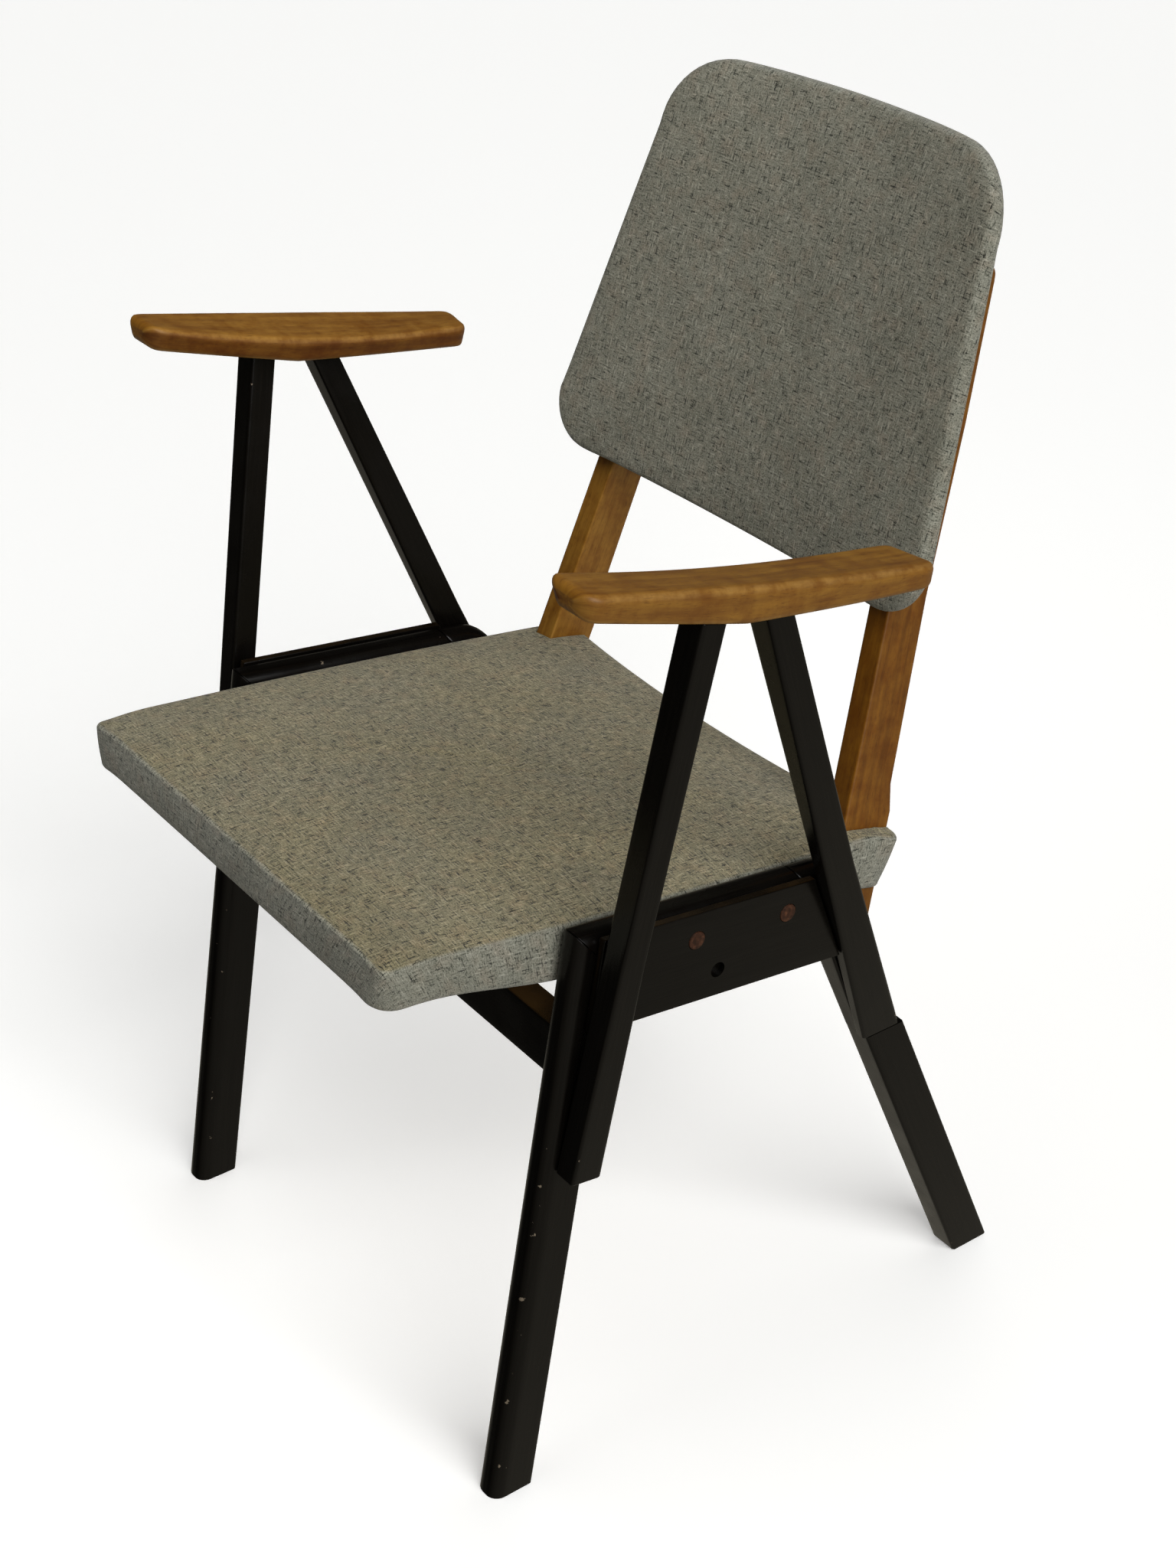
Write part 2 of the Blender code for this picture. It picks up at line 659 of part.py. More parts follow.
def build_trestle(side, tag):
    """Front leg, rail and rear leg of one side, mitred at the front and butted at the rear, with their dowels."""
    nose = meet(front_leg_front, rail_top)
    crook = meet(front_leg_rear, rail_bottom)
    rear_top = meet(rear_leg_front, rail_top)
    rear_low = meet(rear_leg_front, rail_bottom)
    faces = flat(FRAME_IN), flat(FRAME_OUT), side, "lacquer"
    front_leg = slab(tag + "_front_leg", [(front_leg_front(0.0), 0.0), (front_leg_rear(0.0), 0.0), crook, nose],
                     *faces, nose_edge=3)
    rail = slab(tag + "_side_rail",
                [(nose[0] + JOINT_GAP, rail_top(nose[0] + JOINT_GAP)),
                 (crook[0] + JOINT_GAP, rail_bottom(crook[0] + JOINT_GAP)),
                 (rear_low[0] - JOINT_GAP, rail_bottom(rear_low[0] - JOINT_GAP)),
                 (rear_top[0] - JOINT_GAP, rail_top(rear_top[0] - JOINT_GAP))],
                *faces, nose_edge=3)
    leg_outline = [(rear_leg_front(0.0), 0.0), (rear_leg_rear(0.0), 0.0), meet(rear_leg_rear, rail_top), rear_top]
    rear_leg = slab(tag + "_rear_leg", fillet(leg_outline, 2, REAR_TOP_ROUND), *faces)
    for piece in (front_leg, rail, rear_leg):
        ease(piece, LEG_EASE)

    mitre = (Vector(nose) - Vector(crook)).normalized()
    at = (Vector(nose) + Vector(crook)) / 2
    fastener(tag + "_mitre_dowel", DOWEL, (side * FRAME_MID, *at), (0, mitre.y, -mitre.x), "beech",
             (front_leg, rail))
    at = (Vector(rear_top) + Vector(rear_low)) / 2
    fastener(tag + "_rail_dowel", DOWEL, (side * FRAME_MID, *at), (0, math.cos(TILT), -math.sin(TILT)), "beech",
             (rail, rear_leg))
    return front_leg, rail, rear_leg


def build_panel(side, tag):
    """Board on the rail, from behind the front arm post to the front of the rear one, with an unused blind hole."""
    def front(z):
        return front_leg_rear(z) - PANEL_LAP

    def rear(z):
        return REAR_POST.front(z) - 2 * FIT_GAP

    outline = [meet(front, panel_bottom), meet(rear, panel_bottom), meet(rear, panel_top), meet(front, panel_top)]
    panel = slab(tag + "_rail_panel", outline, flat(PANEL_IN), flat(PANEL_OUT), side, "lacquer")
    ease(panel, PANEL_EASE)
    hole_z = rail_top(SPARE_HOLE_Y) - SPARE_HOLE_DROP
    blind = [(-SPARE_HOLE_DEPTH, SPARE_HOLE_R), (CUT_OVER, SPARE_HOLE_R)]
    cut(turned(tag + "_spare_hole", blind, (side * PANEL_OUT, SPARE_HOLE_Y, hole_z), (side, 0, 0), "lacquer"), panel)
    return panel


def build_arm_post(side, tag, post):
    """Straight post from its foot to the armrest's underside."""
    def seat(y):
        return post.under(y) - 1.5 * FIT_GAP

    low = post.foot_z - post.foot_slant
    outline = [(post.front(post.foot_z), post.foot_z), (post.rear(low), low),
               meet(post.rear, seat), meet(post.front, seat)]
    thing = slab(f"{tag}_{post.name}_arm_post", outline, post.inner, post.outer, side, "lacquer")
    ease(thing, POST_EASE)
    return thing


def house_rear_post(side, tag, rear_leg):
    """Step in the rear leg's outer face that the rear arm post lies in."""
    low = REAR_POST_FOOT_Z - FIT_GAP
    high = meet(rear_leg_front, rail_bottom)[1]
    outline = [(REAR_POST.front(low) - CUT_OVER, low), (REAR_POST.rear(low) + CUT_OVER, low),
               (REAR_POST.rear(high) + CUT_OVER, high), (REAR_POST.front(high) - CUT_OVER, high)]
    cut(slab(tag + "_housing", outline, lambda z: REAR_POST.inner(z) - FIT_GAP, flat(FRAME_OUT + CUT_OVER),
             side, "lacquer"), rear_leg)


def fix_arm_post(side, tag, post, thing, leg, arm):
    """Dowel from the post into the armrest, and a screw from inside the leg into the post's foot."""
    def middle(z):
        return Vector((side * (post.inner(z) + post.outer(z)) / 2, (post.front(z) + post.rear(z)) / 2, z))

    top = middle(meet(lambda z: middle(z).y, post.under)[1])
    fastener(f"{tag}_{post.name}_arm_dowel", DOWEL, top, top - middle(post.foot_z), "beech", (thing, arm))
    at = middle(post.foot_z + POST_SCREW_UP)
    length = post.outer(at.z) - POST_SCREW_SHORT - FRAME_IN
    fastener(f"{tag}_{post.name}_post_screw", countersunk(length, SCREW_HEAD_R, SCREW_HEAD_T, SCREW_R),
             (side * (FRAME_IN + FIT_GAP), at.y, at.z), (side, 0, 0), "steel", (leg, thing), mouth=CUT_OVER)


def build_armrest(side, tag):
    """Lens-shaped arm: sides bowed out, inner top edge dipped, underside a shallow V with its lowest line at the apex."""
    middle = (ARM_FRONT_Y + ARM_REAR_Y) / 2
    half_long = (ARM_REAR_Y - ARM_FRONT_Y) / 2
    even = [blend(ARM_FRONT_Y, ARM_REAR_Y, k / (ARM_STATIONS - 1)) for k in range(ARM_STATIONS)]
    nearest = min(even, key=lambda y: abs(y - ARM_APEX_Y))
    bm = bmesh.new()
    rings = []
    for y in [ARM_APEX_Y if y == nearest else y for y in even]:
        s = (y - middle) / half_long
        half = blend(ARM_W_MID, ARM_W_END, s * s) / 2
        bottom = max(arm_bottom_front(y), arm_bottom_rear(y))
        inner = arm_top(y) + ARM_INNER_RISE - ARM_DISH * (1 - s * s)
        outer = arm_top(y) + ARM_OUTER_RISE
        section = [(-half, bottom), (half, bottom), (half, outer), (0.0, (inner + outer) / 2), (-half, inner)]
        ring = []
        for across, z in section:
            skew = ARM_SKEW * across / half * max(0.0, s) ** 4
            ring.append(bm.verts.new((side * (ARM_MID_X + across), y + skew, z)))
        rings.append(ring)
    for low, high in zip(rings, rings[1:]):
        bridge(bm, low, high)
    bm.faces.new(rings[0])
    bm.faces.new(rings[-1])
    bmesh.ops.triangulate(bm, faces=bm.faces)
    arm = make_object(tag + "_armrest", bm, "beech", smooth=True)
    ease(arm, ARM_EDGE, 3)
    return arm


def build_back_post(side, tag, board, stretcher):
    """Beech post through the seat's notch, with its bolt into the stretcher and screws into the back board."""
    knee = RAIL_TOP_Z - SEAT_BOARD_T
    outline = [(post_front(POST_FOOT_Z), POST_FOOT_Z), (post_rear(POST_FOOT_Z), POST_FOOT_Z),
               (post_rear(knee), knee), (post_rear(RAIL_TOP_Z), RAIL_TOP_Z),
               (post_rear(POST_TOP_Z), POST_TOP_Z), (post_front(POST_TOP_Z), POST_TOP_Z)]
    post = slab(tag + "_back_post", fillet(outline, 4, POST_TOP_ROUND), post_in, post_out, side, "beech")
    ease(post, POST_EASE)

    bolt = BOLT_HEAD_R, BOLT_HEAD_T, BOLT_R
    screw = SCREW_HEAD_R, SCREW_HEAD_T, SCREW_R
    for name, z, other, bite, sizes in (
            ("back_post_bolt", REAR_STRETCHER_Z, stretcher, BACK_BOLT_BITE, bolt),
            ("back_screw_low", BACK_FOOT_Z + BACK_SCREW_LOW, board, BACK_SCREW_BITE, screw),
            ("back_screw_high", BACK_FOOT_Z + BACK_SCREW_HIGH, board, BACK_SCREW_BITE, screw)):
        x = (post_in(z) + post_out(z)) / 2
        face = Vector((side * x, post_front(z), z))
        off = FIT_GAP
        if other is board:
            off = (board_rear(side * x, z) - face).dot(POST_NORMAL)
        depth = (post_rear(z) - post_front(z)) * math.cos(POST_RAKE) - HEAD_DEPTH
        fastener(f"{tag}_{name}", countersunk(depth + off + bite, *sizes), face - POST_NORMAL * depth, POST_NORMAL,
                 "steel", (post, other), mouth=CUT_OVER)


def build_seat_bolts(side, tag, pieces):
    """Two bolts through the panel, the rail and the pad's edge into the edge of the seat board."""
    rear_y = meet(rear_leg_front, rail_bottom)[0] - BOLT_FROM_LEG
    for name, y in (("front", rear_y - BOLT_APART), ("rear", rear_y)):
        at = seat_place(0.0, y, BOLT_ABOVE_MID - SEAT_BOARD_T / 2)
        at.x = side * (PANEL_OUT - BOLT_HEAD_SUNK)
        end = abs(at.x) - FRAME_IN + BOLT_PAST_RAIL
        under = BOLT_HEAD_T + FIT_GAP
        hole = [(-CUT_OVER, BOLT_HEAD_R + FIT_GAP), (under, BOLT_HEAD_R + FIT_GAP),
                (under, BOLT_R + FIT_GAP), (end + FIT_GAP, BOLT_R + FIT_GAP)]
        shape = [(0.0, BOLT_HEAD_R), (BOLT_HEAD_T, BOLT_HEAD_R), (BOLT_HEAD_T, BOLT_R), (end, BOLT_R)]
        cut(turned(f"{tag}_seat_bolt_{name}_hole", hole, at, (-side, 0, 0), "bronze"), *pieces)
        turned(f"{tag}_seat_bolt_{name}", shape, at, (-side, 0, 0), "bronze")


def build_side(side, tag, seat, back_board, rear_stretcher):
    """Everything on one side of the chair."""
    front_leg, rail, rear_leg = build_trestle(side, tag)
    house_rear_post(side, tag, rear_leg)
    cut(mortise(tag + "_front_mortise", side, SHOULDER, front_stretcher_place), front_leg)
    cut(mortise(tag + "_rear_mortise", side, SHOULDER, rear_stretcher_place), rear_leg)
    panel = build_panel(side, tag)
    arm = build_armrest(side, tag)
    for post, leg in ((FRONT_POST, front_leg), (REAR_POST, rear_leg)):
        fix_arm_post(side, tag, post, build_arm_post(side, tag, post), leg, arm)
    build_seat_bolts(side, tag, (panel, rail, *seat))
    build_back_post(side, tag, back_board, rear_stretcher)


def stand_on_origin():
    """Move the chair so that the middle of its box's underside is the origin."""
    bpy.context.view_layer.update()
    depsgraph = bpy.context.evaluated_depsgraph_get()
    ys = []
    for thing in bpy.context.scene.objects:
        if thing.type == "MESH" and not thing.hide_render:
            shape = thing.evaluated_get(depsgraph).to_mesh()
            ys += [vertex.co.y for vertex in shape.vertices]
    CHAIR.location.y = -(min(ys) + max(ys)) / 2


for old in list(bpy.data.objects):
    bpy.data.objects.remove(old, do_unlink=True)

CHAIR = bpy.data.objects.new("chair", None)
bpy.context.scene.collection.objects.link(CHAIR)
MATERIALS = {
    "lacquer": add_material("black_lacquered_wood", (0.010, 0.010, 0.009), 0.30),
    "beech": add_material("honey_beech", (0.33, 0.13, 0.030), 0.42),
    "fabric": add_material("grey_heather_fabric", (0.24, 0.24, 0.20), 0.90),
    "plywood": add_material("birch_plywood", (0.48, 0.33, 0.18), 0.60),
    "bronze": add_material("brown_bolt_head", (0.20, 0.075, 0.040), 0.45),
    "steel": add_material("steel_screw", (0.55, 0.55, 0.55), 0.35, 1.0),
}
SHOULDER = FRAME_IN - FIT_GAP

SEAT = build_seat()
BACK_BOARD = build_back()
tenoned_bar("front_stretcher", SHOULDER, front_stretcher_place)
REAR_STRETCHER = tenoned_bar("rear_stretcher", SHOULDER, rear_stretcher_place)
for SIDE, TAG in SIDES:
    build_side(SIDE, TAG, SEAT, BACK_BOARD, REAR_STRETCHER)
stand_on_origin()
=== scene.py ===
"""Mid-century armchair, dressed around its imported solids.

Metres, +Z up, the sitter faces -Y and +X is the sitter's left. Side views are worked out in (y, z) with y = 0
near the middle of the rails, and SHIFT_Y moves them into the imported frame.
"""
import math

import bpy
import numpy as np
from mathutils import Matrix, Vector


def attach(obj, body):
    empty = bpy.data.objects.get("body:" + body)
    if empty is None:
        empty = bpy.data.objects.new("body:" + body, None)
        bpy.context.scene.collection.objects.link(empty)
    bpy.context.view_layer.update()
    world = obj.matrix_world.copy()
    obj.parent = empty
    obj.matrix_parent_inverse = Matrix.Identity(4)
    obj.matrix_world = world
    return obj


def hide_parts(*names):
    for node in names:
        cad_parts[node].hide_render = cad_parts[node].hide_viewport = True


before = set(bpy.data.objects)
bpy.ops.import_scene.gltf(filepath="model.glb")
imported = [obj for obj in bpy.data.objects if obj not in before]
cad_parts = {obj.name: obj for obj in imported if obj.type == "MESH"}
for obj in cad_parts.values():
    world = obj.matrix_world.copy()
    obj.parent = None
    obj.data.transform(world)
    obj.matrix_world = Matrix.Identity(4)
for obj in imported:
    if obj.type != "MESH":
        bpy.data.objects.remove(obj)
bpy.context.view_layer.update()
STAGE = bpy.context.scene

# Sizes shared with the solids; rakes are in degrees
MM = 0.001
SHIFT_Y = -0.03013
GAP, JOINT_GAP = 0.0003, 0.0006
TILT = math.radians(6.9)
RAIL_TOP_Z = 0.425
FRAME_IN, FRAME_OUT = 0.196, 0.219
LEG_D, BULLNOSE = 0.0318, 0.0095
FRONT_LEG_RAKE, REAR_LEG_RAKE = 9.7, 23.3
PANEL_IN, PANEL_OUT = 0.2193, 0.2253
PANEL_T, PANEL_H, PANEL_BELOW_RAIL = 0.006, 0.068, 0.001
STRETCHER_Z = RAIL_TOP_Z - 0.082
STRETCHER_T, STRETCHER_H = 0.020, 0.042
SIDES = ((1, "left"), (-1, "right"))

# Camera, from the photograph's vanishing lines
CAMERA_AT = (1.22632, -0.86715, 1.30129)
CAMERA_LOOK = (-0.69046, 0.50613, -0.51681)
CAMERA_LENS = 57.0


def linear(code):
    """Linear colour with alpha of an sRGB hex code."""
    rgb = np.array([int(code[k:k + 2], 16) for k in (1, 3, 5)]) / 255
    rgb = np.where(rgb <= 0.04045, rgb / 12.92, ((rgb + 0.055) / 1.055) ** 2.4)
    return (*rgb.tolist(), 1.0)


def node(tree, kind, ins=None, ramp=None, **settings):
    """Add a shader node and return its outputs.

    A ramp is (place, hex colour) stops. An input is a value, or another node's output to link from.
    """
    made = tree.nodes.new("ShaderNode" + kind)
    for key, value in settings.items():
        setattr(made, key, value)
    if ramp:
        stops = made.color_ramp.elements
        while len(stops) < len(ramp):
            stops.new(0.5)
        for stop, (place, code) in zip(stops, ramp):
            stop.position = place
            stop.color = linear(code)
    for key, value in (ins or {}).items():
        if isinstance(value, bpy.types.NodeSocket):
            tree.links.new(value, made.inputs[key])
        else:
            made.inputs[key].default_value = value
    return made.outputs


def new_material(name, constants):
    """Material with a Principled BSDF that has these constants; returns material, tree and shader."""
    material = bpy.data.materials.new(name)
    material.use_nodes = True
    shader = material.node_tree.nodes["Principled BSDF"]
    for key, value in constants.items():
        shader.inputs[key].default_value = value
    return material, material.node_tree, shader


# Side view: fronts and rears of the legs as y(z), heights of the rails as z(y)

def blend(a, b, t):
    """Straight mix of a and b by the share t."""
    return a + (b - a) * t


def straight(z0, v0, z1, v1):
    """Straight line as a function of height."""
    return lambda z: blend(v0, v1, (z - z0) / (z1 - z0))


def raked(y, z, degrees):
    """Line through (y, z) that goes back by this angle as it rises."""
    return lambda h: y + math.tan(math.radians(degrees)) * (h - z)


def beside(edge, distance):
    """The same line further back, or the same face further out."""
    return lambda z: edge(z) + distance


def meet(across, along):
    """Point where y = across(z) crosses z = along(y)."""
    k = across(1.0) - across(0.0)
    m = along(1.0) - along(0.0)
    z = (along(0.0) + m * across(0.0)) / (1.0 - m * k)
    return across(z), z


def rail_top(y):
    """Top of the rail, which falls to the rear by TILT."""
    return RAIL_TOP_Z - math.tan(TILT) * y


def rail_bottom(y):
    """Underside of the rail, LEG_D square below its top."""
    return rail_top(y) - LEG_D / math.cos(TILT)


def panel_top(y):
    """Top of the panel, just below the rail's."""
    return rail_top(y) - PANEL_BELOW_RAIL


def panel_bottom(y):
    """Underside of the panel."""
    return panel_top(y) - PANEL_H


front_leg_front = raked(-0.179, 0.0, FRONT_LEG_RAKE)
front_leg_rear = beside(front_leg_front, LEG_D / math.cos(math.radians(FRONT_LEG_RAKE)))
rear_leg_front = raked(0.252, 0.0, -REAR_LEG_RAKE)
rear_leg_rear = beside(rear_leg_front, LEG_D / math.cos(math.radians(REAR_LEG_RAKE)))

# Armrests and the posts under them
ARM_FRONT_Y, ARM_REAR_Y, ARM_APEX_Y = -0.136, 0.126, -0.023
ARM_T_APEX, ARM_T_END = 0.0245, 0.0155
ARM_RISE, ARM_FALL = 0.2446, math.radians(12.0)


def arm_top(y):
    """Top of the armrest, which falls to the rear by ARM_FALL."""
    return RAIL_TOP_Z + ARM_RISE - math.tan(ARM_FALL) * y


def arm_bottom(end):
    """Underside of the armrest from its thickest line to one end."""
    return lambda y: arm_top(y) - blend(ARM_T_APEX, ARM_T_END, (y - ARM_APEX_Y) / (end - ARM_APEX_Y))


arm_bottom_front, arm_bottom_rear = arm_bottom(ARM_FRONT_Y), arm_bottom(ARM_REAR_Y)
FRONT_POST_RAKE, FRONT_POST_D, FRONT_POST_T_FOOT, POST_T_TOP = 10.6, 0.0190, 0.0180, 0.0215
REAR_POST_D_FOOT, REAR_POST_D_TOP, REAR_POST_HOUSED = 0.0285, 0.0205, 0.0075
FRONT_FOOT_Z, REAR_FOOT_Z = 0.266, 0.254
front_post_front = raked(front_leg_front(FRONT_FOOT_Z) + 0.0085, FRONT_FOOT_Z, FRONT_POST_RAKE)
front_post_rear = beside(front_post_front, FRONT_POST_D / math.cos(math.radians(FRONT_POST_RAKE)))
FRONT_TOP_Z = meet(front_post_front, arm_bottom_front)[1]
# The front posts lean out from their feet just enough to pass the panels' outer faces
SPREAD = (PANEL_T + GAP) / (meet(front_post_front, panel_bottom)[1] - FRONT_FOOT_Z)
POST_TOP_IN = FRAME_OUT + GAP + SPREAD * (FRONT_TOP_Z - FRONT_FOOT_Z)
POST_TOP_OUT = POST_TOP_IN + POST_T_TOP
front_post_in = straight(FRONT_FOOT_Z, FRAME_OUT + GAP, FRONT_TOP_Z, POST_TOP_IN)
front_post_out = straight(FRONT_FOOT_Z, FRAME_OUT + GAP + FRONT_POST_T_FOOT, FRONT_TOP_Z, POST_TOP_OUT)
REAR_TOP_Y = ARM_APEX_Y + 0.0185
REAR_TOP_Z = arm_bottom_rear(REAR_TOP_Y)
REAR_FOOT_Y = rear_leg_front(REAR_FOOT_Z) - 0.003
rear_post_front = straight(REAR_FOOT_Z, REAR_FOOT_Y, REAR_TOP_Z, REAR_TOP_Y)
rear_post_rear = straight(REAR_FOOT_Z, REAR_FOOT_Y + REAR_POST_D_FOOT,
                          REAR_TOP_Z, REAR_TOP_Y + REAR_POST_D_TOP)
rear_post_in = straight(REAR_FOOT_Z, FRAME_OUT - REAR_POST_HOUSED, REAR_TOP_Z, POST_TOP_IN)
rear_post_out = straight(REAR_FOOT_Z, FRAME_OUT, REAR_TOP_Z, POST_TOP_OUT)
ARM_MID_X = (POST_TOP_IN + POST_TOP_OUT) / 2 - 0.0065

# Back panel: v up its slope, w out of its face
BACK_RAKE = math.radians(18.9)
BACK_FOOT_Y, BACK_FOOT_Z = 0.1675, 0.560
BACK_H, BACK_W_FOOT, BACK_W_TOP = 0.297, 0.412, 0.318
BACK_BOARD_T, BACK_PAD_T, BACK_BOW = 0.006, 0.006, 0.015
POST_TOP_Z = BACK_FOOT_Z + 0.202
POST_RAKE, POST_TAPER, POST_T, POST_INSET = 17.8, 7.6, 0.019, 0.018
# Depth of the back posts below the seat, at the knee and, in the solids, at the top
POST_D_LOW, POST_D_KNEE, POST_D_TOP = 0.043, 0.038, 0.028


def back_half(v):
    """Half of the back's width at v."""
    return blend(BACK_W_FOOT, BACK_W_TOP, v / BACK_H) / 2


def back_place(x, v, w):
    """Points of the back, w from the board's face; a parabola in x bows its middle back by BACK_BOW."""
    w = w - BACK_PAD_T - BACK_BOW * (1 - (x / back_half(v)) ** 2)
    y = BACK_FOOT_Y + SHIFT_Y + v * math.sin(BACK_RAKE) - w * math.cos(BACK_RAKE)
    return np.stack([x, y, BACK_FOOT_Z + v * math.cos(BACK_RAKE) + w * math.sin(BACK_RAKE)], -1)


def post_out(z):
    """Outer face of a back post, which leans in by POST_TAPER as it rises."""
    return FRAME_IN - POST_INSET - math.tan(math.radians(POST_TAPER)) * (z - RAIL_TOP_Z)


def post_in(z):
    """Inner face of a back post."""
    return post_out(z) - POST_T


def board_rear_y(x, z):
    """y of the back board's rear face at x and height z, without SHIFT_Y."""
    v = (z - BACK_FOOT_Z) / math.cos(BACK_RAKE)
    w = -(BACK_PAD_T + BACK_BOARD_T + BACK_BOW * (1 - (x / back_half(v)) ** 2))
    v -= w * math.tan(BACK_RAKE)
    return BACK_FOOT_Y + v * math.sin(BACK_RAKE) - w * math.cos(BACK_RAKE)


post_front = raked(board_rear_y(post_in(POST_TOP_Z), POST_TOP_Z) + 2 * GAP, POST_TOP_Z, POST_RAKE)
POST_NORMAL = np.array([0.0, -math.cos(math.radians(POST_RAKE)), math.sin(math.radians(POST_RAKE))])
POST_UP = np.array([0.0, POST_NORMAL[2], -POST_NORMAL[1]])

# Seat: v back down its slope, w square to it from the board's top
SEAT_FRONT, SEAT_REAR, SEAT_WIDEST = -0.229, 0.184, 0.022
SEAT_BOARD_T, SEAT_PAD_T, SEAT_SUNK = 0.020, 0.011, 0.004
SEAT_HALF, SEAT_IN_FRONT, SEAT_IN_REAR = 0.1955, 0.0075, 0.0025


def seat_half(v):
    """Half of the seat's width at v, drawn in quadratically from the widest line to both ends."""
    v = np.asarray(v, float)
    front = SEAT_IN_FRONT * ((v - SEAT_WIDEST) / (SEAT_FRONT - SEAT_WIDEST)) ** 2
    rear = SEAT_IN_REAR * ((v - SEAT_WIDEST) / (SEAT_REAR - SEAT_WIDEST)) ** 2
    return SEAT_HALF - np.where(v < SEAT_WIDEST, front, rear)


def seat_place(x, v, w):
    """Points of the seat's axes, turned by TILT and sunk a little below the rails' tops."""
    w = w - SEAT_PAD_T
    y = v * math.cos(TILT) + w * math.sin(TILT) + SHIFT_Y
    return np.stack([x, y, RAIL_TOP_Z - SEAT_SUNK - v * math.sin(TILT) + w * math.cos(TILT)], -1)


# Surfaces

def skin(name, rings, extras):
    """Closed surface through rings of equal length, each end closed by a fan to its middle.

    Rings are (rings, points, 3). Extras are values on the same grid, kept on the face corners.
    """
    count, n = rings.shape[:2]
    grid = np.arange(count * n).reshape(count, n)
    after = np.roll(grid, -1, axis=1)
    quads = np.stack([grid[:-1], after[:-1], after[1:], grid[1:]], -1).reshape(-1, 4)
    first = np.stack([after[0], grid[0], np.full(n, count * n)], -1)
    last = np.stack([grid[-1], after[-1], np.full(n, count * n + 1)], -1)
    points = np.vstack([rings.reshape(-1, 3), rings[0].mean(0), rings[-1].mean(0)])
    triangles = np.vstack([quads[:, :3], quads[:, [0, 2, 3]], first, last])
    a, b, c = (points[triangles[:, k]] for k in range(3))
    if (a * np.cross(b, c)).sum() < 0:
        quads, first, last = quads[:, ::-1], first[:, ::-1], last[:, ::-1]
    mesh = bpy.data.meshes.new(name)
    mesh.from_pydata(points.tolist(), [], quads.tolist() + first.tolist() + last.tolist())
    corner = np.empty(len(mesh.loops), int)
    mesh.loops.foreach_get("vertex_index", corner)
    for key, values in extras.items():
        values = np.vstack([values.reshape(-1, 3), values[0].mean(0), values[-1].mean(0)])
        attribute = mesh.attributes.new(key, "FLOAT_VECTOR", "CORNER")
        attribute.data.foreach_set("vector", values[corner].astype(np.float32).ravel())
    piece = bpy.data.objects.new(name, mesh)
    STAGE.collection.objects.link(piece)
    soften(piece)
    return piece


def soften(piece, degrees=38):
    """Smooth shading with sharp edges kept past an angle."""
    piece.data.shade_smooth()
    piece.data.set_sharp_from_angle(angle=math.radians(degrees))


def dress(piece, material, slot, *nodes):
    """Give a piece its material and its place on the chair, and hide the nodes that it stands for; the slot
    is not used.
    """
    piece.data.materials.clear()
    piece.data.materials.append(material)
    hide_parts(*nodes)
    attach(piece, "root")


def eased(cap):
    """The same small rounding at both ends of a bar."""
    return ((cap * MM,) * 3,) * 2


def quad(side, front, rear, inner, outer):
    """Corners of one section: front-inner, rear-inner, rear-outer and front-outer.

    Front and rear are side-view points (y, z), and inner and outer are faces as x(z).
    """
    rows = ((inner, front), (inner, rear), (outer, rear), (outer, front))
    return [(side * x_at(z), y + SHIFT_Y, z) for x_at, (y, z) in rows]


def section(depth, thick, radii):
    """Points, outward normals and arris values round a depth by thick rectangle.

    Corner k is a quarter circle of radii[k], and its arris value is the sine of twice the angle turned.
    Sides are evenly divided.
    """
    centres = ((0, 0), (depth, 0), (depth, thick), (0, thick))
    inward = ((1, 1), (-1, 1), (-1, -1), (1, -1))
    turn = np.linspace(0, math.pi / 2, 7)
    points, normals, arris = [], [], []
    for k in range(4):
        angle = turn + math.pi * (1 + k / 2)
        out = np.stack([np.cos(angle), np.sin(angle)], -1)
        middle = np.array(centres[k]) + np.array(inward[k]) * radii[k]
        points.append(middle + out * radii[k])
        normals.append(out)
        arris.append(np.sin(2 * turn))
        ahead = np.array(centres[(k + 1) % 4]) + np.array(inward[(k + 1) % 4]) * radii[(k + 1) % 4]
        start, end = points[-1][-1], ahead + out[-1] * radii[(k + 1) % 4]
        share = np.linspace(0, 1, 8)[1:-1, None]
        points.append(start + (end - start) * share)
        normals.append(np.repeat(out[-1:], len(share), 0))
        arris.append(np.zeros(len(share)))
    return np.vstack(points), np.vstack(normals), np.concatenate(arris)


